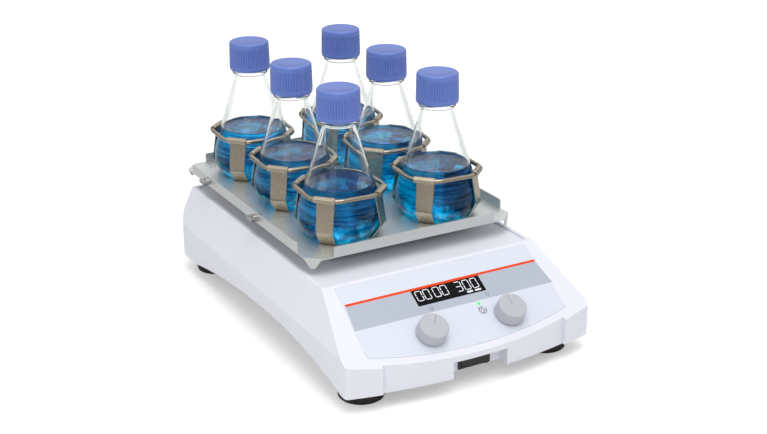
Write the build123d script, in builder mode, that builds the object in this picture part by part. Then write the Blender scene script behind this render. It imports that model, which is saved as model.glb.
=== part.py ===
from build123d import *
import os
from math import atan2, cos, degrees, radians, sin, sqrt, tan

os.makedirs("parts", exist_ok=True)

# Driving sizes in millimetres. The table is z = 0, the front faces -Y and x = 0 is the middle.
case_width = 255.0
case_depth = 388.5
tray_overhang = 21.5
case_lift = 15.3
deck_inset = 15.4
deck_height = 87.3
side_break = 50.0
rear_lean = 4.5
front_radius = 470.0
middle_half = 95.0
middle_recess = 3.0
panel_run = 86.8
panel_slope = 30.4
front_corner = 4.0
rear_corner = 12.0
edge_radius = 1.2
least_radius = 0.4
wall = 2.5
deck_rim = 4.0
deck_recess = 2.0
arch_rise = 18.7
arch_front = 8.0
arch_peak = 145.0
arch_end = 39.0
snap = 0.01

# Front notch and rocker switch
notch_width = 56.0
notch_height = 16.0
notch_depth = 13.0
bezel_side = 1.7
bezel_edge = 0.8
bezel_thickness = 1.5
switch_width = 29.6
switch_height = 12.0
switch_depth = 18.0
switch_wall = 0.9
rocker_end = 1.3
rocker_nose = 5.2
rocker_dip = 1.6
rocker_back = 3.4
rocker_tilt = 10.0
rocker_pivot = 3.0
rocker_pin = 1.5
rocker_pin_skin = 0.3
rocker_pin_end = 0.15
rocker_gap = 0.2

# Control panel, measured from its upper edge down the slope
overlay_thickness = 0.6
overlay_side = 11.1
overlay_flare = 3.0
overlay_start = 3.0
overlay_end = 79.5
overlay_bulge = 14.0
window_width = 71.6
window_height = 17.9
window_depth = 1.4
window_center = (1.2, 33.3)
module_margin = 3.0
led_size = 3.5
led_round = 0.44
led_place = (22.3, 54.2)
button_size = 8.5
button_travel = 0.6
button_place = (22.3, 61.6)
knob_places = {"time": (-37.5, 71.7), "speed": (44.5, 71.7)}
knob_size = 28.0
knob_height = 11.5
knob_top_size = 26.6
knob_gap = 1.2
knob_travel = 0.8
knob_roof = 1.6
plunger_size = 6.0
bush_size = 9.0
encoder_size = 13.0
encoder_height = 6.0
board_width = 112.0
board_x = 3.5
board_start = 20.0
board_end = 84.0
board_thickness = 1.6
board_depth = 10.4
board_screw_inset = 4.0
board_boss = 7.0
panel_clearance = 0.25
contact_size = 6.0
contact_height = 4.0
encoder_floor = 1.0

# Base plate, feet and screws
plate_thickness = 2.5
plate_lift = 2.0
plate_side_gap = 22.0
plate_end_gap = 1.5
vent_x = -62.0
vent_count = 9
vent_pitch = 14.0
vent_length = 60.0
vent_width = 4.0
foot_radius = 22.2
foot_taper = 1.6
foot_side = 30.1
foot_front = 42.45
foot_rear = 26.05
foot_recess = 7.0
foot_edge = 1.2
screw_size = 4.0
screw_head = 7.6
screw_head_height = 2.8
screw_chamfer = 0.7
screw_grip = 9.0
screw_spare = 1.0
case_boss = 10.0
case_boss_side = 59.5
case_boss_gap = 1.0
board_screw = 2.5
board_screw_head = 5.0
board_screw_height = 1.25
board_screw_chamfer = 0.3
board_screw_grip = 5.0

# Tray and its carrier
tray_width = 222.0
tray_depth = 298.0
tray_gap = 13.4
tray_sheet = 1.5
flange_height = 10.7
flange_end_gap = 25.4
side_end_gap = 26.3
flange_corner = 2.0
tray_corner = 13.0
tab_drop = 8.5
tab_tip = 2.2
tab_round = 3.4
tray_bend = 1.3
hole_size = 2.8
hole_gap = 4.2
hole_side = 26.0
hole_middle = 37.5
hole_end = 19.6
carrier_side = 32.0
carrier_end = 24.0
carrier_thickness = 8.0
carrier_corner = 14.0
carrier_window = 38.0
carrier_window_length = 110.0
tray_screw_x = 16.0
thumb_rows = (-37.0, 79.0)
thumb_height = 6.0
thumb_size = 4.0
thumb_head = 9.4
thumb_head_length = 8.0
thumb_wing = 3.2
thumb_nut = 7.0
thumb_nut_height = 3.0

# Orbit drive
orbit_radius = 7.5
idler_x = 62.0
idler_end = 59.0
pin_size = 8.0
shaft_size = 10.0
bearing_size = 22.0
bearing_width = 7.0
bearing_shoulder = 2.5
running_clearance = 0.03
seat_clearance = 0.02
crank_margin = 3.5
crank_gap = 1.5
crank_top_gap = 3.4
bearing_gap = 0.6
weight_radius = 38.0
weight_thickness = 3.2
weight_gap = 0.8
weight_room = 1.2
frame_thickness = 4.0
frame_level = 50.0
frame_side = 25.0
frame_end = 10.0
frame_leg = 14.0
leg_side = 57.5
leg_end = 41.0
frame_boss = 30.0
pulley_size = 90.0
pulley_face = 10.0
pulley_gap = 3.0
pulley_hub = 24.0
pulley_web = 4.0
pulley_rim = 4.0
motor_pulley_size = 24.0
belt_width = 8.0
belt_thickness = 2.0
belt_clearance = 0.15
motor_size = 56.0
motor_room = 3.8
motor_reach = 88.0
motor_shaft = 6.0
motor_nose = 22.0
motor_cap = 4.0
motor_seat = 2.0
motor_floor = 3.0
motor_wall = 5.2
motor_vent = 5.0
motor_vent_inset = 14.0
rotor_gap = 0.8

# Mains parts on the base plate and the rear wall
inlet_side = 35.5
inlet_level = 35.0
inlet_width = 27.0
inlet_height = 19.6
inlet_flange = 3.0
inlet_flange_thickness = 2.0
inlet_depth = 22.0
inlet_mouth_depth = 16.0
inlet_pin_length = 12.0
inlet_wall = 1.8
supply_width = 40.0
supply_depth = 92.0
supply_board = 1.6
supply_stand = 4.0
supply_height = 20.0
transformer_width = 28.0
transformer_depth = 32.0
capacitor_radius = 12.0
supply_side = 57.5
supply_y = 48.0

# Flasks, caps, medium and clamps
column_side = 58.5
row_end = 51.75
flask_height = 136.0
flask_radius = 40.0
flask_foot = 32.0
flask_shoulder = 60.0
flask_cone = 17.9
flask_wall = 1.3
neck_radius = 15.5
neck_blend = 14.0
heel_height = 16.0
bead_reach = 2.5
bead_height = 4.0
bead_flat = 0.4
bead_level = 105.2
lip_radius = 0.5
medium_level = 48.3
medium_gap = 0.1
cap_room = 2.4
cap_height = 29.0
cap_top = 2.4
cap_wall = 2.6
cap_edge = 2.6
cap_skirt = 2.0
cap_taper = 0.6
cap_gap = 0.3
clamp_sheet = 1.0
clamp_gap = 0.5
clamp_lean = 32.5
clamp_fold = 2.4
clamp_bend = 1.5
clamp_width = 17.4
clamp_turn = -2.5
sleeve_width = 20.0
sleeve_drop = 2.4
sleeve_gap = 0.1
ring_wire = 4.4
ring_level = 46.5
ring_gap = 1.4
ring_bend = 8.0
ring_bends = 8
seat_gap = 0.2

# Places that follow from the sizes
overall_depth = case_depth + tray_overhang
deck_width = case_width - 2 * deck_inset
nose_y = -overall_depth / 2
rear_y = nose_y + case_depth
ridge_y = nose_y + panel_run
platform_y = overall_depth / 2 - tray_depth / 2
crank_y = platform_y - orbit_radius
plate_bottom = case_lift + plate_lift
plate_top = plate_bottom + plate_thickness
deck_floor = deck_height - deck_recess
deck_under = deck_floor - wall
notch_y = nose_y + notch_depth
notch_top = case_lift + notch_height
slope = radians(panel_slope)
panel = Plane(origin=(0, ridge_y, deck_height), x_dir=(1, 0, 0), z_dir=(0, -sin(slope), cos(slope)))
out_of_panel = Axis(panel.origin, panel.z_dir)
far = overall_depth * 2


def front_edge(x, radius):
    return nose_y + front_radius - sqrt(radius**2 - x**2)


corner_y = front_edge(case_width / 2, front_radius + middle_recess)


def down_slope(*places):
    """Points of the panel's plane, each given as x and the way down the slope"""
    return [(x, -s) for x, s in places]


def case_form(inset, top):
    """The closed outer form of the case, drawn in on all sides by an inset"""
    low = case_lift - 3 * inset
    half = case_width / 2 - inset
    blocks = front_radius + middle_recess - inset
    middle = front_radius - inset
    step = middle_half + inset
    back = rear_y - inset
    with BuildPart() as form:
        with BuildSketch(Plane.XY.offset(low)) as plan:
            with BuildLine():
                between = (half + step) / 2
                front = front_edge(half, blocks)
                Polyline((half, front), (half, back), (-half, back), (-half, front))
                for side in (-1, 1):
                    ThreePointArc(
                        (side * half, front),
                        (side * between, front_edge(between, blocks)),
                        (side * step, front_edge(step, blocks)),
                    )
                    Line((side * step, front_edge(step, blocks)), (side * step, front_edge(step, middle)))
                ThreePointArc(
                    (-step, front_edge(step, middle)),
                    (0, front_edge(0, middle)),
                    (step, front_edge(step, middle)),
                )
            make_face()
            fillet(plan.vertices().group_by(Axis.Y)[-1], radius=max(rear_corner - inset, least_radius))
            corners = [v for v in plan.vertices() if abs(abs(v.X) - half) < snap and v.Y < ridge_y]
            fillet(corners, radius=max(front_corner - inset, least_radius))
        extrude(amount=top - low)
        with BuildSketch(Plane.XZ) as section:
            with BuildLine():
                Polyline(
                    (case_width / 2, -far),
                    (case_width / 2, side_break),
                    (deck_width / 2, deck_height),
                    (-deck_width / 2, deck_height),
                    (-case_width / 2, side_break),
                    (-case_width / 2, -far),
                    close=True,
                )
            make_face()
            offset(amount=-inset, kind=Kind.INTERSECTION)
        extrude(amount=far, both=True, mode=Mode.INTERSECT)
        with BuildSketch(Plane.YZ) as profile:
            with BuildLine():
                ahead = nose_y - 2 * panel_run
                Polyline(
                    (ahead, -far),
                    (ahead, deck_height - (ridge_y - ahead) * tan(slope)),
                    (ridge_y, deck_height),
                    (rear_y - rear_lean, deck_height),
                    (rear_y, side_break),
                    (rear_y, -far),
                    close=True,
                )
            make_face()
            offset(amount=-inset, kind=Kind.INTERSECTION)
        extrude(amount=far, both=True, mode=Mode.INTERSECT)
    return form.part


# Places of the cranks, the bosses, the screws and the flasks
idler_y = tray_depth / 2 - idler_end
crank_spots = {
    "drive": (0, crank_y),
    "front_left": (-idler_x, crank_y - idler_y),
    "front_right": (idler_x, crank_y - idler_y),
    "rear_left": (-idler_x, crank_y + idler_y),
    "rear_right": (idler_x, crank_y + idler_y),
}
pin_spots = [(x, y + orbit_radius) for x, y in crank_spots.values()]
crank_radius = orbit_radius + pin_size / 2 + crank_margin
deck_hole = crank_radius + crank_gap
tray_lift = deck_height + tray_gap
carrier_bottom = tray_lift - carrier_thickness
crank_top = carrier_bottom - crank_top_gap
frame_top = frame_level + frame_thickness
boss_top = deck_under - weight_room - weight_thickness - weight_gap
disc_level = boss_top + weight_gap
pulley_level = frame_level - pulley_gap - pulley_face
motor_y = crank_y - motor_reach
plate_front = corner_y + wall + plate_end_gap
plate_rear = rear_y - wall - plate_end_gap
case_boss_x = case_width / 2 - case_boss_side
boss_inset = wall + case_boss / 2 + case_boss_gap
case_boss_ys = (corner_y + boss_inset, rear_y - boss_inset)
case_boss_spots = [(side * case_boss_x, y) for side in (-1, 1) for y in case_boss_ys]
foot_x = case_width / 2 - foot_side
foot_spots = [(side * foot_x, y) for side in (-1, 1) for y in (nose_y + foot_front, rear_y - foot_rear)]
leg_x = case_width / 2 - leg_side
leg_y = tray_depth / 2 - leg_end
frame_width = 2 * (leg_x + frame_side)
frame_depth = 2 * (leg_y + frame_end)
leg_spots = [(side * leg_x, crank_y + end * leg_y) for side in (-1, 1) for end in (-1, 1)]
board_mid = (board_start + board_end) / 2
board_screw_reach = board_width / 2 - board_screw_inset
board_screw_rows = (board_start + board_screw_inset, board_end - board_screw_inset)
board_screw_spots = [(board_x + side * board_screw_reach, s) for side in (-1, 1) for s in board_screw_rows]
pilot = screw_size + 2 * running_clearance
board_pilot = board_screw + 2 * running_clearance
overlay_half_top = deck_width / 2 - overlay_side
overlay_half_bottom = overlay_half_top + overlay_flare
switch_level = case_lift + notch_height / 2
switch_end = notch_y + switch_depth
pivot_y = notch_y - bezel_thickness + rocker_pivot
rocker_half = switch_width / 2 - switch_wall - rocker_end
rocker_pin_hole = switch_height / 2 - rocker_pin_skin
inlet_x = case_width / 2 - inlet_side
supply_x = case_width / 2 - supply_side
core_radius = motor_size / 2 - motor_wall - rotor_gap
motor_height = deck_under - frame_top - motor_room
core_height = motor_height - motor_floor - motor_cap - 2 * rotor_gap
window_slot = (window_width + 2 * seat_clearance, window_height + 2 * seat_clearance)
button_foot = contact_height + button_travel + seat_gap - board_depth
knob_bottom = overlay_thickness + knob_gap
plunger_foot = encoder_floor + knob_travel + seat_gap - board_depth
plunger_top = knob_bottom + knob_height - knob_roof
tray_floor = tray_lift + tray_sheet
hole_x = tray_width / 2 - hole_side
hole_rows = (hole_middle, tray_depth / 2 - hole_end)
carrier_width = tray_width - 2 * carrier_side
carrier_depth = tray_depth - 2 * carrier_end
row_pitch = tray_depth / 2 - row_end
column_pitch = tray_width - 2 * column_side
thumb_ys = [platform_y + row for row in thumb_rows]
carrier_screw_ys = (platform_y - row_pitch / 2, platform_y + row_pitch / 2)
carrier_screw_spots = [(side * tray_screw_x, y) for side in (-1, 1) for y in carrier_screw_ys]
column_xs = (-column_pitch / 2, column_pitch / 2)
flask_spots = [(x, platform_y + row * row_pitch) for x in column_xs for row in (-1, 0, 1)]
flask_bottom = tray_floor + clamp_sheet + seat_gap
heel_radius = (heel_height**2 + (flask_radius - flask_foot) ** 2) / (2 * (flask_radius - flask_foot))
bead_radius = neck_radius + bead_reach
cap_radius = neck_radius + cap_room + cap_wall
cap_bottom = flask_bottom + flask_height + cap_gap + cap_top - cap_height
cone_lean = radians(flask_cone)
cone_radius = flask_radius - flask_shoulder * (1 - cos(cone_lean))
cone_bottom = flask_bottom + heel_height + flask_shoulder * sin(cone_lean)

# Places of a clamp: its strips stand off the heel, its ring stands off the cone with a flat at each strip,
# and the whole clamp is turned a little from the tray's diagonals
ring_z = tray_lift + ring_level
ring_half = cone_radius - (ring_z - cone_bottom) * tan(cone_lean) + ring_gap + ring_wire / 2
ring_turn = radians(360 / ring_bends)
ring_flat = sleeve_width / 2 + seat_gap + ring_bend * tan(ring_turn / 2)
ring_reach = ring_half / cos(ring_turn) - ring_flat
sleeve = ring_wire / 2 + sleeve_gap + clamp_sheet / 2
strip_z = tray_floor + clamp_sheet / 2
clamp_turns = [start + clamp_turn for start in (45, 135, 225, 315)]
strip_lean = radians(clamp_lean)
strip_off = heel_radius + clamp_gap + clamp_sheet / 2
strip_rise = flask_bottom + heel_height - strip_z
strip_foot = flask_radius - heel_radius + (strip_off - strip_rise * sin(strip_lean)) / cos(strip_lean)
fold_x = flask_radius + clamp_fold
fold_z = strip_z + (fold_x - strip_foot) / tan(strip_lean)

# Case: one moulded shell with the deck, the sloping panel and the screw bosses
outer = case_form(0, deck_height)
cavity = case_form(wall, deck_under)
half_way = case_form(wall / 2, deck_floor)
with BuildPart() as notch_wall:
    with BuildSketch(Plane.XZ.offset(-notch_y - wall)):
        with Locations((0, notch_top + wall - deck_height / 2)):
            Rectangle(notch_width + 2 * wall, deck_height)
    extrude(amount=notch_depth + wall)
with BuildPart() as case_bosses:
    with BuildSketch(Plane.XY.offset(plate_top)):
        with Locations(*case_boss_spots):
            Circle(case_boss / 2)
    extrude(amount=deck_floor - plate_top)
    with BuildSketch(panel.offset(-board_depth)):
        with Locations(*down_slope(*board_screw_spots)):
            Circle(board_boss / 2)
    extrude(amount=board_depth)
    add(half_way, mode=Mode.INTERSECT)

with BuildPart() as housing:
    add(outer)
    lip = housing.edges().filter_by_position(Axis.Z, deck_height - snap, deck_height + snap)
    fillet(lip, radius=edge_radius)
    add(cavity - notch_wall.part, mode=Mode.SUBTRACT)
    with BuildSketch(Plane.XY.offset(deck_height)) as well:
        with Locations((0, (ridge_y + rear_y - rear_lean) / 2)):
            Rectangle(deck_width - 2 * deck_rim, rear_y - rear_lean - ridge_y - 2 * deck_rim)
        fillet(well.vertices(), radius=deck_rim)
    extrude(amount=-deck_recess, mode=Mode.SUBTRACT)
    with BuildSketch(Plane.YZ):
        with BuildLine():
            peak = (corner_y + arch_peak, case_lift + arch_rise)
            front_arc = TangentArc(peak, (corner_y + arch_front, case_lift), tangent=(-1, 0))
            rear_arc = TangentArc(peak, (rear_y - arch_end, case_lift), tangent=(1, 0))
            Line(front_arc @ 1, rear_arc @ 1)
        make_face()
    extrude(amount=case_width, both=True, mode=Mode.SUBTRACT)
    add(case_bosses.part)
    with BuildSketch(Plane.XZ.offset(-notch_y)):
        with Locations((0, notch_top - deck_height / 2)):
            Rectangle(notch_width, deck_height)
    extrude(amount=2 * notch_depth, mode=Mode.SUBTRACT)
    with BuildSketch(Plane.XZ.offset(-notch_y)):
        with Locations((0, switch_level)):
            Rectangle(switch_width + 2 * seat_clearance, switch_height + 2 * seat_clearance)
    extrude(amount=-2 * wall, mode=Mode.SUBTRACT)
    with BuildSketch(Plane.XZ.offset(-rear_y)):
        with Locations((inlet_x, inlet_level)):
            Rectangle(inlet_width + 2 * seat_clearance, inlet_height + 2 * seat_clearance)
    extrude(amount=2 * wall, mode=Mode.SUBTRACT)
    with BuildSketch(Plane.XY.offset(plate_top)):
        with Locations(*case_boss_spots):
            Circle(pilot / 2)
    extrude(amount=screw_grip, mode=Mode.SUBTRACT)
    with BuildSketch(Plane.XY.offset(deck_height)):
        with Locations(*crank_spots.values()):
            Circle(deck_hole)
    extrude(amount=deck_under - deck_height - wall, mode=Mode.SUBTRACT)
    with BuildSketch(panel.offset(-board_depth)):
        with Locations(*down_slope(*board_screw_spots)):
            Circle(board_pilot / 2)
    extrude(amount=board_screw_grip, mode=Mode.SUBTRACT)
    with BuildSketch(panel.offset(-window_depth)):
        with Locations(*down_slope(window_center)):
            Rectangle(window_slot[0], window_slot[1])
    extrude(amount=2 * window_depth, mode=Mode.SUBTRACT)
    with BuildSketch(panel.offset(-2 * wall)):
        with Locations(*down_slope(window_center)):
            Rectangle(window_width - 2 * module_margin, window_height - 2 * module_margin)
        with Locations(*down_slope(led_place)):
            Circle(led_size / 2 + panel_clearance)
        with Locations(*down_slope(button_place)):
            Circle(button_size / 2 + panel_clearance)
        with Locations(*down_slope(*knob_places.values())):
            Circle(bush_size / 2 + panel_clearance)
    extrude(amount=3 * wall, mode=Mode.SUBTRACT)
housing.part.label = "housing"
export_step(housing.part, "parts/housing.step")

# Base plate: a steel sheet, narrow between the feet so that the side arches stay clear
with BuildPart() as base_plate:
    with BuildSketch(Plane.XY.offset(plate_bottom)) as sheet:
        with Locations((0, (plate_front + plate_rear) / 2)):
            Rectangle(case_width - 2 * plate_side_gap, plate_rear - plate_front)
        fillet(sheet.vertices().group_by(Axis.Y)[-1], radius=rear_corner)
        with Locations(*foot_spots):
            Circle(foot_radius - foot_taper)
        with Locations((0, plate_front)):
            Rectangle(switch_width + 4 * wall, 2 * (switch_end - plate_front) + 2 * wall, mode=Mode.SUBTRACT)
        with Locations(*case_boss_spots, *foot_spots, *leg_spots):
            Circle(pilot / 2, mode=Mode.SUBTRACT)
        with Locations((vent_x, crank_y)):
            with GridLocations(0, vent_pitch, 1, vent_count):
                SlotOverall(vent_length, vent_width, mode=Mode.SUBTRACT)
    extrude(amount=plate_thickness)
base_plate.part.label = "base_plate"
export_step(base_plate.part, "parts/base_plate.step")

# Feet: four rubber pucks, each with a recess for its screw
with BuildPart() as rubber_feet:
    with BuildSketch(Plane.XY.offset(plate_bottom)):
        with Locations(*foot_spots):
            Circle(foot_radius)
    extrude(amount=-plate_bottom, taper=degrees(atan2(foot_taper, plate_bottom)))
    fillet(rubber_feet.faces().sort_by(Axis.Z)[:4].edges(), radius=foot_edge)
    with BuildSketch(Plane.XY):
        with Locations(*foot_spots):
            Circle(screw_head / 2 + foot_taper)
    extrude(amount=foot_recess, mode=Mode.SUBTRACT)
    with BuildSketch(Plane.XY):
        with Locations(*foot_spots):
            Circle(pilot / 2)
    extrude(amount=plate_bottom, mode=Mode.SUBTRACT)
rubber_feet.part.label = "rubber_feet"
export_step(rubber_feet.part, "parts/rubber_feet.step")


def screws(plane, spots, size, head, head_height, head_chamfer, grip):
    """Pan head screws that stand on a plane with their heads below it"""
    with BuildPart() as group:
        with BuildSketch(plane):
            with Locations(*spots):
                Circle(head / 2)
        extrude(amount=-head_height)
        away = Axis(plane.origin, plane.z_dir)
        chamfer(group.faces().filter_by(away).edges().group_by(away)[0], length=head_chamfer)
        with BuildSketch(plane):
            with Locations(*spots):
                Circle(size / 2)
        extrude(amount=grip)
    return group.part


# Case screws: through the base plate into the case, the drive frame and the feet, and the board's own
under_plate = Plane.XY.offset(plate_bottom)
case_grip = plate_thickness + screw_grip - screw_spare
plate_spots = case_boss_spots + leg_spots
case_head = (screw_size, screw_head, screw_head_height, screw_chamfer)
plate_screws = screws(under_plate, plate_spots, *case_head, case_grip)
foot_seat = Plane.XY.offset(foot_recess)
foot_grip = plate_top - foot_recess + screw_spare
foot_screws = screws(foot_seat, foot_spots, *case_head, foot_grip)
under_board = panel.offset(-board_depth - board_thickness)
board_grip = board_thickness + board_screw_grip - screw_spare
board_spots = down_slope(*board_screw_spots)
board_head = (board_screw, board_screw_head, board_screw_height, board_screw_chamfer)
board_screws = screws(under_board, board_spots, *board_head, board_grip)
with BuildPart() as case_screws:
    add(plate_screws)
    add(foot_screws)
    add(board_screws)
case_screws.part.label = "case_screws"
export_step(case_screws.part, "parts/case_screws.step")

# Control panel: the printed overlay, the display and what stands on the board behind them
with BuildPart() as control_overlay:
    with BuildSketch(panel) as label_sheet:
        with BuildLine():
            Polyline(
                (-overlay_half_bottom, -overlay_end),
                (-overlay_half_top, -overlay_start),
                (overlay_half_top, -overlay_start),
                (overlay_half_bottom, -overlay_end),
            )
            ThreePointArc(
                (overlay_half_bottom, -overlay_end),
                (0, -overlay_end - overlay_bulge),
                (-overlay_half_bottom, -overlay_end),
            )
        make_face()
        with Locations(*down_slope(window_center)):
            Rectangle(window_slot[0], window_slot[1], mode=Mode.SUBTRACT)
        with Locations(*down_slope(led_place)):
            Circle(led_size / 2 + seat_clearance, mode=Mode.SUBTRACT)
        with Locations(*down_slope(button_place)):
            Circle(button_size / 2 + panel_clearance, mode=Mode.SUBTRACT)
        with Locations(*down_slope(*knob_places.values())):
            Circle(bush_size / 2 + panel_clearance, mode=Mode.SUBTRACT)
    extrude(amount=overlay_thickness)
control_overlay.part.label = "control_overlay"
export_step(control_overlay.part, "parts/control_overlay.step")

with BuildPart() as display_window:
    with BuildSketch(panel.offset(-window_depth)):
        with Locations(*down_slope(window_center)):
            Rectangle(window_width, window_height)
    extrude(amount=window_depth + overlay_thickness)
display_window.part.label = "display_window"
export_step(display_window.part, "parts/display_window.step")

with BuildPart() as display_module:
    with BuildSketch(panel.offset(-board_depth)):
        with Locations(*down_slope(window_center)):
            Rectangle(window_width - 3 * module_margin, window_height - 3 * module_margin)
    extrude(amount=board_depth - window_depth - seat_gap)
display_module.part.label = "display_module"
export_step(display_module.part, "parts/display_module.step")

with BuildPart() as control_board:
    with BuildSketch(panel.offset(-board_depth - board_thickness)):
        with Locations((board_x, -board_mid)):
            Rectangle(board_width, board_end - board_start)
        with Locations(*down_slope(*board_screw_spots)):
            Circle(board_pilot / 2, mode=Mode.SUBTRACT)
    extrude(amount=board_thickness)
    with BuildSketch(panel.offset(-board_depth)):
        with Locations(*down_slope(button_place)):
            Rectangle(contact_size, contact_size)
    extrude(amount=contact_height)
control_board.part.label = "control_board"
export_step(control_board.part, "parts/control_board.step")

with BuildPart() as status_led:
    with BuildSketch(panel.offset(-board_depth)):
        with Locations(*down_slope(led_place)):
            Circle(led_size / 2)
    extrude(amount=board_depth + overlay_thickness + seat_gap)
    fillet(status_led.faces().filter_by(out_of_panel).sort_by(out_of_panel)[-1].edges(), radius=led_round)
status_led.part.label = "status_led"
export_step(status_led.part, "parts/status_led.step")

with BuildPart() as standby_button:
    with BuildSketch(panel.offset(button_foot)):
        with Locations(*down_slope(button_place)):
            Circle(button_size / 2)
    extrude(amount=overlay_thickness + seat_gap - button_foot)
    fillet(standby_button.faces().filter_by(out_of_panel).sort_by(out_of_panel)[-1].edges(), radius=seat_gap)
standby_button.part.label = "standby_button"
export_step(standby_button.part, "parts/standby_button.step")

with BuildPart() as knob_encoders:
    with BuildSketch(panel.offset(-board_depth)):
        with Locations(*down_slope(*knob_places.values())):
            Rectangle(encoder_size, encoder_size)
    extrude(amount=encoder_height)
    with BuildSketch(panel.offset(-board_depth)):
        with Locations(*down_slope(*knob_places.values())):
            Circle(bush_size / 2)
    extrude(amount=board_depth + overlay_thickness)
    with BuildSketch(panel.offset(-board_depth + encoder_floor)):
        with Locations(*down_slope(*knob_places.values())):
            Circle(plunger_size / 2 + running_clearance)
    extrude(amount=board_depth + knob_height, mode=Mode.SUBTRACT)
knob_encoders.part.label = "knob_encoders"
export_step(knob_encoders.part, "parts/knob_encoders.step")

# Knobs: each turns on a push shaft that slides in its encoder
for name, place in knob_places.items():
    with BuildPart() as plunger:
        with BuildSketch(panel.offset(plunger_foot)):
            with Locations(*down_slope(place)):
                Circle(plunger_size / 2)
        extrude(amount=plunger_top - plunger_foot)
    plunger.part.label = f"{name}_plunger"
    export_step(plunger.part, f"parts/{name}_plunger.step")

    with BuildPart() as knob:
        with BuildSketch(panel.offset(knob_bottom)):
            with Locations(*down_slope(place)):
                Circle(knob_size / 2)
        extrude(amount=knob_height, taper=degrees(atan2((knob_size - knob_top_size) / 2, knob_height)))
        fillet(knob.faces().filter_by(out_of_panel).sort_by(out_of_panel)[-1].edges(), radius=edge_radius)
        with BuildSketch(panel.offset(knob_bottom)):
            with Locations(*down_slope(place)):
                Circle(plunger_size / 2 + running_clearance)
        extrude(amount=knob_height - knob_roof + running_clearance, mode=Mode.SUBTRACT)
    knob.part.label = f"{name}_knob"
    export_step(knob.part, f"parts/{name}_knob.step")

# Mains switch in the front notch: a framed body and a rocker on two pins
with BuildPart() as switch_body:
    with BuildSketch(Plane.XZ.offset(-notch_y)):
        with Locations((0, switch_level)):
            Rectangle(switch_width + 2 * bezel_side, switch_height + 2 * bezel_edge)
    extrude(amount=bezel_thickness)
    with BuildSketch(Plane.XZ.offset(-notch_y)):
        with Locations((0, switch_level)):
            Rectangle(switch_width, switch_height)
    extrude(amount=-switch_depth)
    with BuildSketch(Plane.XZ.offset(-notch_y + bezel_thickness)):
        with Locations((0, switch_level)):
            Rectangle(switch_width - 2 * switch_wall, switch_height - 2 * switch_wall)
    extrude(amount=-bezel_thickness - rocker_pivot - rocker_half / 2, mode=Mode.SUBTRACT)
    with BuildSketch(Plane.XY.offset(switch_level)):
        with Locations((0, pivot_y)):
            Circle(rocker_pin + running_clearance)
    extrude(amount=rocker_pin_hole, both=True, mode=Mode.SUBTRACT)
switch_body.part.label = "switch_body"
export_step(switch_body.part, "parts/switch_body.step")

with BuildPart() as rocker:
    rocker_plane = Plane(Location((0, pivot_y, switch_level), (0, 0, -rocker_tilt)))
    with BuildSketch(rocker_plane):
        with BuildLine():
            Polyline(
                (-rocker_half, -rocker_nose),
                (0, -rocker_nose + rocker_dip),
                (rocker_half, -rocker_nose),
                (rocker_half, 0),
                (rocker_half / 2, rocker_back),
                (-rocker_half / 2, rocker_back),
                (-rocker_half, 0),
                close=True,
            )
        make_face()
    extrude(amount=switch_height / 2 - switch_wall - rocker_gap, both=True)
    with BuildSketch(rocker_plane):
        Circle(rocker_pin)
    extrude(amount=rocker_pin_hole - rocker_pin_end, both=True)
rocker.part.label = "rocker"
export_step(rocker.part, "parts/rocker.step")

# Mains inlet in the rear wall, and the supply board on stands behind the drive
with BuildPart() as power_inlet:
    with BuildSketch(Plane.XZ.offset(-rear_y)):
        with Locations((inlet_x, inlet_level)):
            Rectangle(inlet_width + 2 * inlet_flange, inlet_height + 2 * inlet_flange)
    extrude(amount=-inlet_flange_thickness)
    with BuildSketch(Plane.XZ.offset(-rear_y)):
        with Locations((inlet_x, inlet_level)):
            Rectangle(inlet_width, inlet_height)
    extrude(amount=inlet_depth)
    with BuildSketch(Plane.XZ.offset(-rear_y - inlet_flange_thickness)) as mouth:
        with Locations((inlet_x, inlet_level)):
            Rectangle(inlet_width - 2 * inlet_wall, inlet_height - 2 * inlet_wall)
        chamfer(mouth.vertices().group_by(Axis.Y)[-1], length=inlet_wall * 2)
    extrude(amount=inlet_mouth_depth, mode=Mode.SUBTRACT)
    with BuildSketch(Plane.XZ.offset(-rear_y - inlet_flange_thickness + inlet_mouth_depth)):
        with Locations((inlet_x, inlet_level)):
            outer_pin = (inlet_width / 4, -inlet_wall / 2)
            with Locations((-outer_pin[0], outer_pin[1]), outer_pin, (0, inlet_wall)):
                Rectangle(inlet_wall, 2 * inlet_wall)
    extrude(amount=-inlet_pin_length)
power_inlet.part.label = "power_inlet"
export_step(power_inlet.part, "parts/power_inlet.step")

with BuildPart() as power_supply:
    with BuildSketch(Plane.XY.offset(plate_top)):
        with Locations((supply_x, supply_y)):
            with GridLocations(supply_width - 2 * supply_stand, supply_depth - 2 * supply_stand, 2, 2):
                Circle(supply_stand / 2)
    extrude(amount=supply_stand)
    with BuildSketch(Plane.XY.offset(plate_top + supply_stand)):
        with Locations((supply_x, supply_y)):
            Rectangle(supply_width, supply_depth)
    extrude(amount=supply_board)
    with BuildSketch(Plane.XY.offset(plate_top + supply_stand + supply_board)):
        with Locations((supply_x, supply_y - supply_depth / 4)):
            Rectangle(transformer_width, transformer_depth)
        with Locations((supply_x, supply_y + supply_depth / 4)):
            Circle(capacitor_radius)
    extrude(amount=supply_height)
power_supply.part.label = "power_supply"
export_step(power_supply.part, "parts/power_supply.step")

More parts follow.
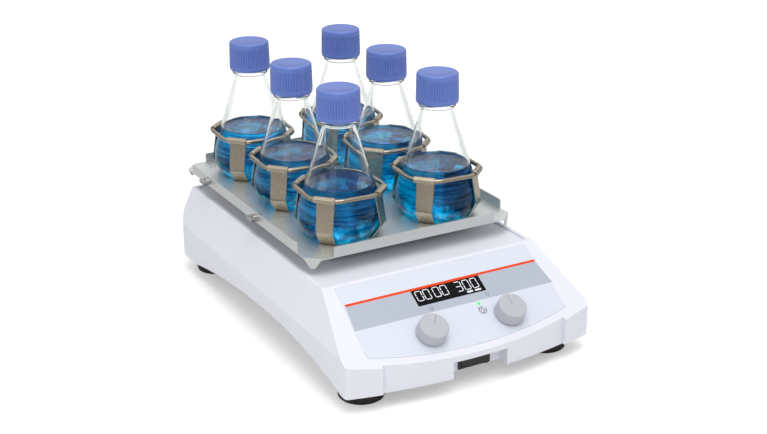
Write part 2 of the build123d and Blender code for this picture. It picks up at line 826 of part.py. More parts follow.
# Drive frame: a cast table on four legs with a tall bearing boss for each crank
with BuildPart() as drive_frame:
    with BuildSketch(Plane.XY.offset(frame_level)) as table:
        with Locations((0, crank_y)):
            RectangleRounded(frame_width, frame_depth, frame_leg / 2)
        with Locations((0, motor_y)):
            Circle(motor_nose / 2 + seat_gap, mode=Mode.SUBTRACT)
    extrude(amount=frame_thickness)
    with BuildSketch(Plane.XY.offset(plate_top)):
        with Locations(*leg_spots):
            Circle(frame_leg / 2)
    extrude(amount=frame_level - plate_top)
    with BuildSketch(Plane.XY.offset(frame_top)):
        with Locations(*crank_spots.values()):
            Circle(frame_boss / 2)
    extrude(amount=boss_top - frame_top)
    with BuildSketch(Plane.XY.offset(frame_level)):
        with Locations(*crank_spots.values()):
            Circle(bearing_size / 2 - bearing_shoulder)
    extrude(amount=boss_top - frame_level, mode=Mode.SUBTRACT)
    for level in (frame_level, boss_top - bearing_width):
        with BuildSketch(Plane.XY.offset(level)):
            with Locations(*crank_spots.values()):
                Circle(bearing_size / 2 + seat_clearance)
        extrude(amount=bearing_width, mode=Mode.SUBTRACT)
    with BuildSketch(Plane.XY.offset(plate_top)):
        with Locations(*leg_spots):
            Circle(pilot / 2)
    extrude(amount=screw_grip, mode=Mode.SUBTRACT)
drive_frame.part.label = "drive_frame"
export_step(drive_frame.part, "parts/drive_frame.step")

with BuildPart() as frame_bearings:
    for level in (frame_level, boss_top - bearing_width):
        with BuildSketch(Plane.XY.offset(level)):
            with Locations(*crank_spots.values()):
                Circle(bearing_size / 2)
                Circle(shaft_size / 2 + running_clearance, mode=Mode.SUBTRACT)
        extrude(amount=bearing_width)
frame_bearings.part.label = "frame_bearings"
export_step(frame_bearings.part, "parts/frame_bearings.step")


def crank(spot, foot):
    """A crank: its shaft, its disc in the deck's hole and the eccentric pin, which rests towards +Y"""
    with BuildPart() as turned:
        with BuildSketch(Plane.XY.offset(foot)):
            with Locations(spot):
                Circle(shaft_size / 2)
        extrude(amount=disc_level - foot)
        with BuildSketch(Plane.XY.offset(disc_level)):
            with Locations(spot):
                Circle(crank_radius)
        extrude(amount=crank_top - disc_level)
        chamfer(turned.faces().sort_by(Axis.Z)[-1].edges(), length=edge_radius / 2)
        with BuildSketch(Plane.XY.offset(crank_top)):
            with Locations((spot[0], spot[1] + orbit_radius)):
                Circle(pin_size / 2)
        extrude(amount=tray_lift - bearing_gap - crank_top)
    return turned.part


# Drive crank with its counterweight, and its four idlers at the corners
plain_crank = crank(crank_spots["drive"], pulley_level - seat_gap)
with BuildPart() as drive_crank:
    add(plain_crank)
    with BuildSketch(Plane.XY.offset(disc_level)):
        with Locations((0, crank_y)):
            Circle(weight_radius)
        with Locations((0, crank_y + weight_radius)):
            Rectangle(2 * weight_radius, 2 * weight_radius, mode=Mode.SUBTRACT)
    extrude(amount=weight_thickness)
drive_crank.part.label = "drive_crank"
export_step(drive_crank.part, "parts/drive_crank.step")

for name, spot in crank_spots.items():
    if name != "drive":
        idler = crank(spot, frame_level - seat_gap)
        idler.label = f"idler_crank_{name}"
        export_step(idler, f"parts/idler_crank_{name}.step")

# Pulleys: a small solid one on the motor, and a large one with a web between its hub and its rim
with BuildPart() as motor_pulley:
    with BuildSketch(Plane.XY.offset(pulley_level)):
        with Locations((0, motor_y)):
            Circle(motor_pulley_size / 2)
            Circle(motor_shaft / 2 + seat_clearance, mode=Mode.SUBTRACT)
    extrude(amount=pulley_face)
motor_pulley.part.label = "motor_pulley"
export_step(motor_pulley.part, "parts/motor_pulley.step")

with BuildPart() as drive_pulley:
    with BuildSketch(Plane.XY.offset(pulley_level)):
        with Locations(crank_spots["drive"]):
            Circle(pulley_size / 2)
            Circle(shaft_size / 2 + seat_clearance, mode=Mode.SUBTRACT)
    extrude(amount=pulley_face)
    for level in (pulley_level, pulley_level + (pulley_face + pulley_web) / 2):
        with BuildSketch(Plane.XY.offset(level)):
            with Locations(crank_spots["drive"]):
                Circle(pulley_size / 2 - pulley_rim)
                Circle(pulley_hub / 2, mode=Mode.SUBTRACT)
        extrude(amount=(pulley_face - pulley_web) / 2, mode=Mode.SUBTRACT)
drive_pulley.part.label = "drive_pulley"
export_step(drive_pulley.part, "parts/drive_pulley.step")

# Motor: its can stands on the table with its nose in a hole there, and the rotor with its core turns in it
with BuildPart() as motor_rotor:
    with BuildSketch(Plane.XY.offset(pulley_level - seat_gap)):
        with Locations((0, motor_y)):
            Circle(motor_shaft / 2)
    extrude(amount=frame_top + motor_height - motor_cap + motor_seat - pulley_level)
    with BuildSketch(Plane.XY.offset(frame_top + motor_floor + rotor_gap)):
        with Locations((0, motor_y)):
            Circle(core_radius)
    extrude(amount=core_height)
motor_rotor.part.label = "motor_shaft"
export_step(motor_rotor.part, "parts/motor_shaft.step")

with BuildPart() as motor:
    with BuildSketch(Plane.XY.offset(frame_top)):
        with Locations((0, motor_y)):
            Circle(motor_size / 2)
    extrude(amount=motor_height)
    chamfer(motor.faces().sort_by(Axis.Z)[-1].edges(), length=edge_radius)
    with BuildSketch(Plane.XY.offset(frame_level)):
        with Locations((0, motor_y)):
            Circle(motor_nose / 2)
    extrude(amount=frame_thickness)
    with BuildSketch(Plane.XY.offset(frame_level)):
        with Locations((0, motor_y)):
            Circle(motor_shaft / 2 + running_clearance)
    extrude(amount=frame_thickness + motor_height - motor_cap + motor_seat, mode=Mode.SUBTRACT)
    with BuildSketch(Plane.XY.offset(frame_top + motor_floor)):
        with Locations((0, motor_y)):
            Circle(core_radius + rotor_gap)
    extrude(amount=core_height + 2 * rotor_gap, mode=Mode.SUBTRACT)
    with BuildSketch(Plane.XY.offset(frame_top + motor_height)):
        with Locations((0, motor_y)):
            with PolarLocations(motor_size / 2 - motor_vent_inset, 4):
                Circle(motor_vent / 2)
    extrude(amount=-motor_cap, mode=Mode.SUBTRACT)
motor.part.label = "motor"
export_step(motor.part, "parts/motor.step")

# Belt: one loop round both pulleys
with BuildPart() as drive_belt:
    with BuildSketch(Plane.XY.offset(pulley_level + (pulley_face - belt_width) / 2)):
        for grow, mode in ((belt_clearance + belt_thickness, Mode.ADD), (belt_clearance, Mode.SUBTRACT)):
            big = pulley_size / 2 + grow
            small = motor_pulley_size / 2 + grow
            lean = (big - small) / motor_reach
            side = sqrt(1 - lean**2)
            crank_y_touch = crank_y - big * lean
            motor_y_touch = motor_y - small * lean
            with BuildLine():
                ThreePointArc((-big * side, crank_y_touch), (0, crank_y + big), (big * side, crank_y_touch))
                Line((big * side, crank_y_touch), (small * side, motor_y_touch))
                front = (0, motor_y - small)
                ThreePointArc((small * side, motor_y_touch), front, (-small * side, motor_y_touch))
                Line((-small * side, motor_y_touch), (-big * side, crank_y_touch))
            make_face(mode=mode)
    extrude(amount=belt_width)
drive_belt.part.label = "drive_belt"
export_step(drive_belt.part, "parts/drive_belt.step")

# Carrier: the plate that the crank pins swing, with a bearing on each pin
with BuildPart() as carrier_plate:
    with BuildSketch(Plane.XY.offset(carrier_bottom)):
        with Locations((0, platform_y)):
            RectangleRounded(carrier_width, carrier_depth, carrier_corner)
        with Locations(*pin_spots):
            Circle(bearing_size / 2 - bearing_shoulder, mode=Mode.SUBTRACT)
        with Locations((0, platform_y)):
            with GridLocations(column_pitch, 0, 2, 1):
                SlotOverall(carrier_window_length, carrier_window, rotation=90, mode=Mode.SUBTRACT)
        with Locations(*carrier_screw_spots):
            Circle(pilot / 2, mode=Mode.SUBTRACT)
    extrude(amount=carrier_thickness)
    with BuildSketch(Plane.XY.offset(carrier_bottom)):
        with Locations(*pin_spots):
            Circle(bearing_size / 2 + seat_clearance)
    extrude(amount=bearing_width, mode=Mode.SUBTRACT)
carrier_plate.part.label = "carrier_plate"
export_step(carrier_plate.part, "parts/carrier_plate.step")

with BuildPart() as carrier_bearings:
    with BuildSketch(Plane.XY.offset(carrier_bottom)):
        with Locations(*pin_spots):
            Circle(bearing_size / 2)
            Circle(pin_size / 2 + running_clearance, mode=Mode.SUBTRACT)
    extrude(amount=bearing_width)
carrier_bearings.part.label = "carrier_bearings"
export_step(carrier_bearings.part, "parts/carrier_bearings.step")

# Tray: folded aluminium sheet with four flanges, open corners and a turned-down tongue at each
with BuildPart() as tray:
    with BuildSketch(Plane.XY.offset(tray_lift)) as floor:
        with Locations((0, platform_y)):
            Rectangle(tray_width, tray_depth)
        chamfer(floor.vertices(), length=tray_corner)
        with Locations((0, platform_y)):
            for row in hole_rows:
                with GridLocations(2 * hole_x, 2 * row, 2, 2):
                    with Locations((-hole_gap / 2, 0), (hole_gap / 2, 0)):
                        Circle(hole_size / 2, mode=Mode.SUBTRACT)
        with Locations(*carrier_screw_spots, *flask_spots):
            Circle(pilot / 2, mode=Mode.SUBTRACT)
    extrude(amount=tray_sheet)
    for turn, reach, half in (
        (270, tray_depth / 2, tray_width / 2 - flange_end_gap),
        (0, tray_width / 2, tray_depth / 2 - side_end_gap),
        (90, tray_depth / 2, tray_width / 2 - flange_end_gap),
        (180, tray_width / 2, tray_depth / 2 - side_end_gap),
    ):
        out = Vector(1, 0).rotate(Axis.Z, turn)
        edge = Plane(
            origin=Vector(0, platform_y, tray_lift) + out * reach, x_dir=out.rotate(Axis.Z, 90), z_dir=out
        )
        with BuildSketch(edge) as wing:
            with Locations((0, flange_height / 2)):
                Rectangle(2 * half, flange_height)
            fillet(wing.vertices().group_by(Axis.Y)[-1], radius=flange_corner)
        extrude(amount=-tray_sheet)
    under = tray.edges().filter_by(GeomType.LINE).group_by(Axis.Z)[0]
    bent = under.filter_by(lambda e: e.length > 2 * tray_corner)
    fillet(bent, radius=min(tray_bend, tray_sheet - seat_clearance))
    for side_x in (-1, 1):
        for side_y in (-1, 1):
            corner = Plane(
                origin=(
                    side_x * (tray_width / 2 - tray_corner / 2),
                    platform_y + side_y * (tray_depth / 2 - tray_corner / 2),
                    tray_lift + tray_sheet,
                ),
                x_dir=(-side_y, side_x, 0),
                z_dir=(side_x, side_y, 0),
            )
            with BuildSketch(corner) as tongue:
                with BuildLine():
                    root = tray_corner / sqrt(2)
                    tip = -tab_drop - tray_sheet
                    Polyline((-root, 0), (root, 0), (tab_tip, tip), (-tab_tip, tip), close=True)
                make_face()
                fillet(tongue.vertices().group_by(Axis.Y)[0], radius=tab_round)
            extrude(amount=-tray_sheet)
    for side_x in (-1, 1):
        with BuildSketch(Plane.YZ.offset(side_x * tray_width / 2)):
            with Locations(*[(y, tray_lift + thumb_height) for y in thumb_ys]):
                Circle(thumb_size / 2 + running_clearance)
        extrude(amount=-side_x * 2 * tray_sheet, mode=Mode.SUBTRACT)
tray.part.label = "tray"
export_step(tray.part, "parts/tray.step")

# Tray screws: four into the carrier, and one with a sunk head through each clamp
sunk_radius = screw_size / 2 + clamp_sheet
with BuildPart() as tray_screws:
    with BuildSketch(Plane.XY.offset(tray_floor)):
        with Locations(*carrier_screw_spots):
            Circle(screw_head / 2)
    extrude(amount=screw_head_height / 2)
    with BuildSketch(Plane.XY.offset(tray_floor)):
        with Locations(*carrier_screw_spots):
            Circle(screw_size / 2)
    extrude(amount=bearing_gap - tray_sheet - carrier_thickness)
    with BuildSketch(Plane.XY.offset(tray_floor)):
        with Locations(*flask_spots):
            Circle(screw_size / 2)
    extrude(amount=-tray_sheet)
    with Locations(*[(x, y, tray_floor) for x, y in flask_spots]):
        Cone(screw_size / 2, sunk_radius, clamp_sheet, align=(Align.CENTER, Align.CENTER, Align.MIN))
tray_screws.part.label = "tray_screws"
export_step(tray_screws.part, "parts/tray_screws.step")

# Thumb screws: a winged head outside each side flange and a nut inside
with BuildPart() as thumb_screws:
    for side_x in (-1, 1):
        outside = Plane.YZ.offset(side_x * tray_width / 2)
        spots = [(y, tray_lift + thumb_height) for y in thumb_ys]
        with BuildSketch(outside):
            with Locations(*spots):
                Circle(thumb_size / 2)
        extrude(amount=-side_x * (tray_sheet + thumb_nut_height + seat_gap))
        with BuildSketch(outside):
            with Locations(*spots):
                Circle(thumb_head / 2 - thumb_wing / 2)
        extrude(amount=side_x * thumb_head_length / 2)
        with BuildSketch(outside):
            with Locations(*spots):
                Rectangle(thumb_head + thumb_wing, thumb_wing)
        extrude(amount=side_x * thumb_head_length)
        inside = Plane.YZ.offset(side_x * (tray_width / 2 - tray_sheet))
        with BuildSketch(inside):
            with Locations(*spots):
                RegularPolygon(thumb_nut / 2, 6)
        extrude(amount=-side_x * thumb_nut_height)
thumb_screws.part.label = "thumb_screws"
export_step(thumb_screws.part, "parts/thumb_screws.step")


def flask_form(inset, top):
    """A flask's form drawn in by an inset and filled up to a height, standing on z = 0"""
    bulge = flask_shoulder - inset
    widest = flask_radius - inset
    cone_foot = (widest - bulge * (1 - cos(cone_lean)), heel_height + bulge * sin(cone_lean))
    neck = neck_radius - inset
    neck_z = cone_foot[1] + (cone_foot[0] - neck) / tan(cone_lean)
    heel_x = flask_radius - heel_radius + sqrt((heel_radius - inset) ** 2 - (heel_height - inset) ** 2)
    with BuildPart() as turned:
        with BuildSketch(Plane.XZ):
            with BuildLine():
                Line((0, inset), (heel_x, inset))
                RadiusArc((heel_x, inset), (widest, heel_height), -(heel_radius - inset))
                RadiusArc((widest, heel_height), cone_foot, -bulge)
                Polyline(cone_foot, (neck, neck_z), (neck, top), (0, top), (0, inset))
            make_face()
        revolve(axis=Axis.Z)
        rings = turned.edges().filter_by(GeomType.CIRCLE)
        fillet(rings.sort_by(lambda e: abs(e.center().Z - neck_z))[0], radius=neck_blend + inset)
    return turned.part


flask_outside = flask_form(0, flask_height)
flask_inside = flask_form(flask_wall, flask_height + cap_height)
medium_inside = flask_form(flask_wall + medium_gap, flask_height)


def clamp_plane(spot, turn):
    """The upright plane through a flask's axis that a clamp's strip is bent in"""
    x_dir = (cos(radians(turn)), sin(radians(turn)), 0)
    return Plane(origin=(spot[0], spot[1], 0), x_dir=x_dir, z_dir=(x_dir[1], -x_dir[0], 0))


# Flasks in two columns of three, each with its medium, its screw cap and its spring clamp
for number, spot in enumerate(flask_spots, start=1):
    seat = Location((spot[0], spot[1], flask_bottom))
    with BuildPart() as flask:
        add(flask_outside)
        with Locations((0, 0, bead_level)):
            Cylinder(bead_radius, bead_height, align=(Align.CENTER, Align.CENTER, Align.MIN))
        rings = flask.edges().filter_by(GeomType.CIRCLE)
        bead = rings.filter_by_position(Axis.Z, bead_level, bead_level + bead_height)
        fillet(bead.group_by(SortBy.RADIUS)[-1], radius=(bead_height - bead_flat) / 2)
        fillet(flask.faces().sort_by(Axis.Z)[-1].edges(), radius=lip_radius)
        add(flask_inside, mode=Mode.SUBTRACT)
    flask.part.label = f"flask_{number}"
    export_step(seat * flask.part, f"parts/flask_{number}.step")

    with BuildPart() as medium:
        add(medium_inside)
        split(bisect_by=Plane.XY.offset(medium_level), keep=Keep.BOTTOM)
    medium.part.label = f"medium_{number}"
    export_step(seat * medium.part, f"parts/medium_{number}.step")

    with BuildPart() as cap:
        with BuildSketch(Plane.XZ):
            with BuildLine():
                Polyline(
                    (0, 0),
                    (cap_radius - cap_skirt / 2, 0),
                    (cap_radius, cap_skirt),
                    (cap_radius - cap_taper, cap_height),
                    (0, cap_height),
                    close=True,
                )
            make_face()
        revolve(axis=Axis.Z)
        fillet(cap.faces().sort_by(Axis.Z)[-1].edges(), radius=cap_edge)
        with BuildSketch(Plane.XY):
            Circle(cap_radius - cap_wall)
        extrude(amount=cap_height - cap_top, mode=Mode.SUBTRACT)
    cap.part.label = f"cap_{number}"
    export_step(Location((spot[0], spot[1], cap_bottom)) * cap.part, f"parts/cap_{number}.step")

    with BuildPart() as clamp:
        for turn in clamp_turns[:2]:
            with BuildSketch(clamp_plane(spot, turn)):
                with BuildLine():
                    ends = [(0, strip_z), (ring_reach - sleeve, ring_z)]
                    FilletPolyline(ends[0], (strip_foot, strip_z), (fold_x, fold_z), ends[1], radius=clamp_bend)
                    mirror(about=Plane.YZ)
                trace(line_width=clamp_sheet)
            extrude(amount=clamp_width / 2, both=True)
            with BuildSketch(clamp_plane(spot, turn)):
                with BuildLine():
                    over = (ring_reach, ring_z + sleeve)
                    ThreePointArc((ring_reach - sleeve, ring_z), over, (ring_reach + sleeve, ring_z))
                    Line((ring_reach + sleeve, ring_z), (ring_reach + sleeve, ring_z - sleeve_drop))
                    mirror(about=Plane.YZ)
                trace(line_width=clamp_sheet)
            extrude(amount=sleeve_width / 2, both=True)
        with Locations((spot[0], spot[1], tray_floor)):
            Cone(
                screw_size / 2 + running_clearance,
                sunk_radius + running_clearance,
                clamp_sheet,
                align=(Align.CENTER, Align.CENTER, Align.MIN),
                mode=Mode.SUBTRACT,
            )
        with BuildLine() as ring_path:
            bends = []
            for turn in clamp_turns:
                middle = Vector(spot[0], spot[1], ring_z)
                out = Vector(ring_reach, 0).rotate(Axis.Z, turn)
                aside = Vector(0, ring_flat).rotate(Axis.Z, turn)
                bends += [middle + out - aside, middle + out + aside]
            FilletPolyline(*bends, radius=ring_bend, close=True)
        with BuildSketch(Wire(ring_path.line.edges()) ^ 0):
            Circle(ring_wire / 2)
        sweep(path=Wire(ring_path.line.edges()))
    clamp.part.label = f"flask_clamp_{number}"
    export_step(clamp.part, f"parts/flask_clamp_{number}.step")
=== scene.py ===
import math

import bpy
from mathutils import Matrix, Vector


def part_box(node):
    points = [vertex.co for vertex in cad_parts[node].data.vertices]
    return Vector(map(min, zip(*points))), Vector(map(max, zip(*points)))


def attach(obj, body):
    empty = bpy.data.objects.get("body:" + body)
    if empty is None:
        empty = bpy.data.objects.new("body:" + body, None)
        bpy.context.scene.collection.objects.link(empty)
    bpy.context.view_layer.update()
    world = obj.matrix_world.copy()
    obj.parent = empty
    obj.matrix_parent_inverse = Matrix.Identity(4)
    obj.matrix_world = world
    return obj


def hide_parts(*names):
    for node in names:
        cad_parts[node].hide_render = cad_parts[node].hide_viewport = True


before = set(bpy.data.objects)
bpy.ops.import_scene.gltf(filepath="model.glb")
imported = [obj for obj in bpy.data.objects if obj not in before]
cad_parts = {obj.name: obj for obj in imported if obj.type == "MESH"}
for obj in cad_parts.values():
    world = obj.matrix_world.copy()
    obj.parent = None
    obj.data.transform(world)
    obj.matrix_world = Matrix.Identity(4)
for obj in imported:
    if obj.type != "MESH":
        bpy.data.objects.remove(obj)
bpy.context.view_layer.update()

# Case shell: one white injection moulding with a fine spark-eroded skin. It carries the deck with
# its raised lip, the sloping front and the arched sides, and is screwed to the base plate below.
mm = 0.001
case_colour = (229, 230, 239)
case_grain = 0.55 * mm
patch_share = 0.012
skin_scatter = 0.2


def paint(red, green, blue):
    """A colour written from 0 to 255, as the linear values of a colour socket"""
    linear = []
    for level in (red / 255, green / 255, blue / 255):
        linear.append(level / 12.92 if level < 0.0405 else ((level + 0.055) / 1.055) ** 2.4)
    return (*linear, 1.0)


def put(tree, kind, settings=None, **inputs):
    """Adds a node. Inputs are given by name, with _ for a space, as a value or as the socket to link"""
    made = tree.nodes.new("ShaderNode" + kind)
    for key, value in (settings or {}).items():
        setattr(made, key, value)
    for key, value in inputs.items():
        socket = made.inputs[int(key[1:])] if key[1:].isdigit() else made.inputs[key.replace("_", " ")]
        if isinstance(value, bpy.types.NodeSocket):
            tree.links.new(value, socket)
        else:
            socket.default_value = value
    return made


def calc(tree, operation, *values):
    """One Math node on sockets or numbers"""
    places = {f"v{index}": value for index, value in enumerate(values)}
    return put(tree, "Math", {"operation": operation}, **places).outputs[0]


def new_effect(name, inputs, outputs):
    """An empty shader node group with named sockets, and its input and output nodes"""
    tree = bpy.data.node_groups.new(name, "ShaderNodeTree")
    for label, value in inputs.items():
        length = len(value) if hasattr(value, "__len__") else 1
        kind = {1: "NodeSocketFloat", 3: "NodeSocketVector", 4: "NodeSocketColor"}[length]
        tree.interface.new_socket(label, in_out="INPUT", socket_type=kind).default_value = value
    for label in outputs:
        kind = "NodeSocketColor" if label == "Colour" else "NodeSocketFloat"
        tree.interface.new_socket(label, in_out="OUTPUT", socket_type=kind)
    return tree, tree.nodes.new("NodeGroupInput").outputs, tree.nodes.new("NodeGroupOutput")


def noise(tree, place, scale, detail=2.0):
    """A noise pattern's value at a place, from about 0.3 to 0.7"""
    return put(tree, "TexNoise", Vector=place, Scale=scale, Detail=detail).outputs["Fac"]


moulded_skin, given, result = new_effect(
    "moulded skin",
    {"Colour": (0.8, 0.8, 0.8, 1.0), "Grain": 1000.0, "Mottle": 0.05, "Roughness": 0.5},
    ("Colour", "Roughness", "Height"),
)
where = put(moulded_skin, "TexCoord").outputs["Object"]
fine = noise(moulded_skin, where, given["Grain"])
broad = noise(moulded_skin, where, calc(moulded_skin, "MULTIPLY", given["Grain"], patch_share), 3.0)
unevenness = calc(moulded_skin, "SUBTRACT", broad, 0.5)
shade = calc(moulded_skin, "MULTIPLY_ADD", unevenness, given["Mottle"], 1.0)
tint = put(moulded_skin, "VectorMath", {"operation": "SCALE"}, Vector=given["Colour"], Scale=shade)
moulded_skin.links.new(tint.outputs[0], result.inputs["Colour"])
relief = calc(moulded_skin, "SUBTRACT", fine, broad)
scatter = calc(moulded_skin, "MULTIPLY_ADD", relief, skin_scatter, given["Roughness"])
moulded_skin.links.new(scatter, result.inputs["Roughness"])
moulded_skin.links.new(fine, result.inputs["Height"])


def new_material(name, **plain):
    """A material with its tree and its Principled shader, whose plain sockets are set by name"""
    material = bpy.data.materials.new(name)
    material.use_nodes = True
    shader = material.node_tree.nodes["Principled BSDF"]
    for key, value in plain.items():
        shader.inputs[key.replace("_", " ")].default_value = value
    return material, material.node_tree, shader


def place_effect(tree, effect, **inputs):
    """A node that holds an effect, with its inputs given by name"""
    return put(tree, "Group", {"node_tree": effect}, **inputs)


def finish_with(tree, shader, effect, depth, edge=0.0):
    """Wires an effect's colour, roughness and height to the shader, with edges softened by a radius"""
    tree.links.new(effect.outputs["Colour"], shader.inputs["Base Color"])
    tree.links.new(effect.outputs["Roughness"], shader.inputs["Roughness"])
    bump = put(tree, "Bump", Height=effect.outputs["Height"], Distance=depth, Strength=1.0)
    if edge:
        tree.links.new(put(tree, "Bevel", {"samples": 4}, Radius=edge).outputs[0], bump.inputs["Normal"])
    tree.links.new(bump.outputs[0], shader.inputs["Normal"])


def moulded(name, colour, grain, depth, rough, mottle=0.05, edge=0.0, **plain):
    """A moulded plastic or rubber: its grain's size and depth, its roughness and its unevenness"""
    material, tree, shader = new_material(name, **plain)
    skin = place_effect(
        tree, moulded_skin, Colour=paint(*colour), Grain=1 / grain, Mottle=mottle, Roughness=rough
    )
    finish_with(tree, shader, skin, depth, edge)
    return material


def dress(material, *nodes):
    """Gives CAD nodes their finish"""
    for node in nodes:
        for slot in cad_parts[node].material_slots:
            slot.material = material


case_plastic = moulded(
    "case plastic", case_colour, grain=case_grain,
    depth=0.006 * mm, rough=0.42, mottle=0.03, edge=0.5 * mm,
)
dress(case_plastic, "housing")

# Base plate and feet: a zinc plated steel sheet closes the case from below, on four
# moulded rubber pucks. Pan head screws with plated heads hold all of it.
sheet_grain = 0.35 * mm
streak_share = 0.6
stain_scale = 14.0
metal_scatter = 0.3
drawn_metal, given, result = new_effect(
    "drawn metal",
    {
        "Colour": (0.7, 0.7, 0.7, 1.0),
        "Along": (1.0, 1.0, 1.0),
        "Grain": 1000.0,
        "Contrast": 0.2,
        "Roughness": 0.3,
    },
    ("Colour", "Roughness", "Height"),
)
where = put(drawn_metal, "TexCoord").outputs["Object"]
streaks = put(drawn_metal, "VectorMath", {"operation": "MULTIPLY"}, v0=where, v1=given["Along"]).outputs[0]
fine = noise(drawn_metal, streaks, given["Grain"], 3.0)
broad = noise(drawn_metal, where, stain_scale, 4.0)
streak_part = calc(drawn_metal, "MULTIPLY", fine, streak_share)
stain_part = calc(drawn_metal, "MULTIPLY", broad, 1 - streak_share)
swing = calc(drawn_metal, "SUBTRACT", calc(drawn_metal, "ADD", streak_part, stain_part), 0.5)
shade = calc(drawn_metal, "MULTIPLY_ADD", swing, given["Contrast"], 1.0)
tint = put(drawn_metal, "VectorMath", {"operation": "SCALE"}, Vector=given["Colour"], Scale=shade)
drawn_metal.links.new(tint.outputs[0], result.inputs["Colour"])
scatter = calc(drawn_metal, "MULTIPLY_ADD", swing, metal_scatter, given["Roughness"])
drawn_metal.links.new(scatter, result.inputs["Roughness"])
drawn_metal.links.new(fine, result.inputs["Height"])


def metal(name, colour, along, grain, rough, contrast=0.25, depth=0.003 * mm, edge=0.0, **plain):
    """A drawn, brushed, turned or cast metal, whose grain is squeezed along each axis by a share"""
    material, tree, shader = new_material(name, Metallic=1.0, **plain)
    skin = place_effect(
        tree,
        drawn_metal,
        Colour=paint(*colour),
        Along=along,
        Grain=1 / grain,
        Contrast=contrast,
        Roughness=rough,
    )
    finish_with(tree, shader, skin, depth, edge)
    return material


plate_steel = metal(
    "plate steel", (178, 181, 186), along=(1, 0.06, 1), grain=sheet_grain, rough=0.34, edge=0.3 * mm
)
dress(plate_steel, "base_plate")
foot_rubber = moulded(
    "foot rubber", (44, 36, 34), grain=0.5 * mm, depth=0.02 * mm, rough=0.62, mottle=0.3
)
dress(foot_rubber, "rubber_feet")
screw_steel = metal(
    "screw steel", (190, 192, 196), along=(1, 1, 1), grain=sheet_grain, rough=0.24, edge=0.2 * mm
)
dress(screw_steel, "case_screws", "tray_screws")

# Mains parts: the inlet is black moulded plastic with three pins, and the supply board behind it
# carries a wound transformer and a can. Both sit in the rear right corner.
inlet_plastic = moulded(
    "inlet plastic", (30, 29, 30), grain=0.4 * mm, depth=0.01 * mm, rough=0.5, mottle=0.2, edge=0.2 * mm
)
dress(inlet_plastic, "power_inlet")
supply_board = moulded(
    "supply board", (44, 92, 56), grain=1.2 * mm, depth=0.03 * mm, rough=0.45, mottle=0.8
)
dress(supply_board, "power_supply")

# Drive: a cast aluminium table with ground bearings, steel cranks, turned pulleys, a rubber belt
# and a black enamelled motor. All of it turns inside the case, under the platform.
cast_grain = 0.8 * mm
cast_aluminium = metal(
    "cast aluminium", (176, 178, 182), along=(1, 1, 1),
    grain=cast_grain, rough=0.5, contrast=0.4, depth=0.03 * mm,
)
ground_steel = metal(
    "ground steel", (196, 198, 202), along=(1, 1, 0.05), grain=sheet_grain, rough=0.18, edge=0.2 * mm
)
turned_aluminium = metal(
    "turned aluminium", (188, 190, 194), along=(0.3, 0.3, 1), grain=sheet_grain, rough=0.28
)
idler_names = [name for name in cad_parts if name.startswith("idler_crank")]
dress(cast_aluminium, "drive_frame")
dress(ground_steel, "frame_bearings", "carrier_bearings", "drive_crank", "motor_shaft", *idler_names)
dress(turned_aluminium, "drive_pulley", "motor_pulley")
motor_enamel = moulded(
    "motor enamel", (34, 34, 37), grain=0.9 * mm, depth=0.01 * mm, rough=0.3, mottle=0.2, Coat_Weight=0.4
)
dress(motor_enamel, "motor")
belt_rubber = moulded(
    "belt rubber", (26, 25, 25), grain=0.3 * mm, depth=0.02 * mm, rough=0.7, mottle=0.3
)
dress(belt_rubber, "drive_belt")
carrier_plate = metal(
    "carrier plate", (184, 186, 190), along=(0.08, 1, 1), grain=sheet_grain, rough=0.36, edge=0.4 * mm
)
dress(carrier_plate, "carrier_plate")

# Control panel: a printed polyester film on the slope, bluish white and satin, with a grey-blue
# band under one orange line. The print is a few hundredths of a millimetre thick.
slope = math.radians(30.4)
ridge_ahead = 2.6 * mm
ridge = Vector((0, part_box("control_overlay")[1].y + ridge_ahead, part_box("housing")[1].z))
film_top = 0.6 * mm
print_step = 0.03 * mm
line_left = -99.9
line_right = 101.0
line_top = 22.4
line_width = 2.5
band_left = -103.0
band_right = 105.0
band_bottom = 51.0
window_left = -34.6
window_right = 37.0
window_low = 42.3
film_white = (215, 221, 233)


def on_panel(x, down, out):
    """A point of the sloping panel, in millimetres across, down the slope and out of it"""
    along = Vector((0, -math.cos(slope), -math.sin(slope)))
    return ridge + Vector((x, 0, 0)) * mm + along * down * mm + along.cross(Vector((1, 0, 0))) * out


def piece(name, points, faces, material, body, crease=35.0):
    """A mesh object that is smooth but for creases, rides on a body and takes the given material"""
    mesh = bpy.data.meshes.new(name)
    mesh.from_pydata([tuple(point) for point in points], [], faces)
    mesh.materials.append(material)
    mesh.shade_smooth()
    mesh.set_sharp_from_angle(angle=math.radians(crease))
    made = bpy.data.objects.new(name, mesh)
    bpy.context.scene.collection.objects.link(made)
    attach(made, body)
    return made


def printed(name, outlines, material, body="base", low=film_top, step=print_step):
    """Flat printed shapes on the panel, each an outline of (x, down the slope) points"""
    points = []
    faces = []
    for outline in outlines:
        count = len(outline)
        first = len(points)
        points += [on_panel(x, down, low + level * step) for level in (0, 1) for x, down in outline]
        faces.append(tuple(range(first + count, first + 2 * count)))
        faces.append(tuple(reversed(range(first, first + count))))
        for here in range(count):
            after = (here + 1) % count
            faces.append((first + here, first + after, first + count + after, first + count + here))
    return piece(name, points, faces, material, body)


def box_outline(left, right, top, bottom):
    """A rectangle's corners"""
    return [(left, top), (left, bottom), (right, bottom), (right, top)]


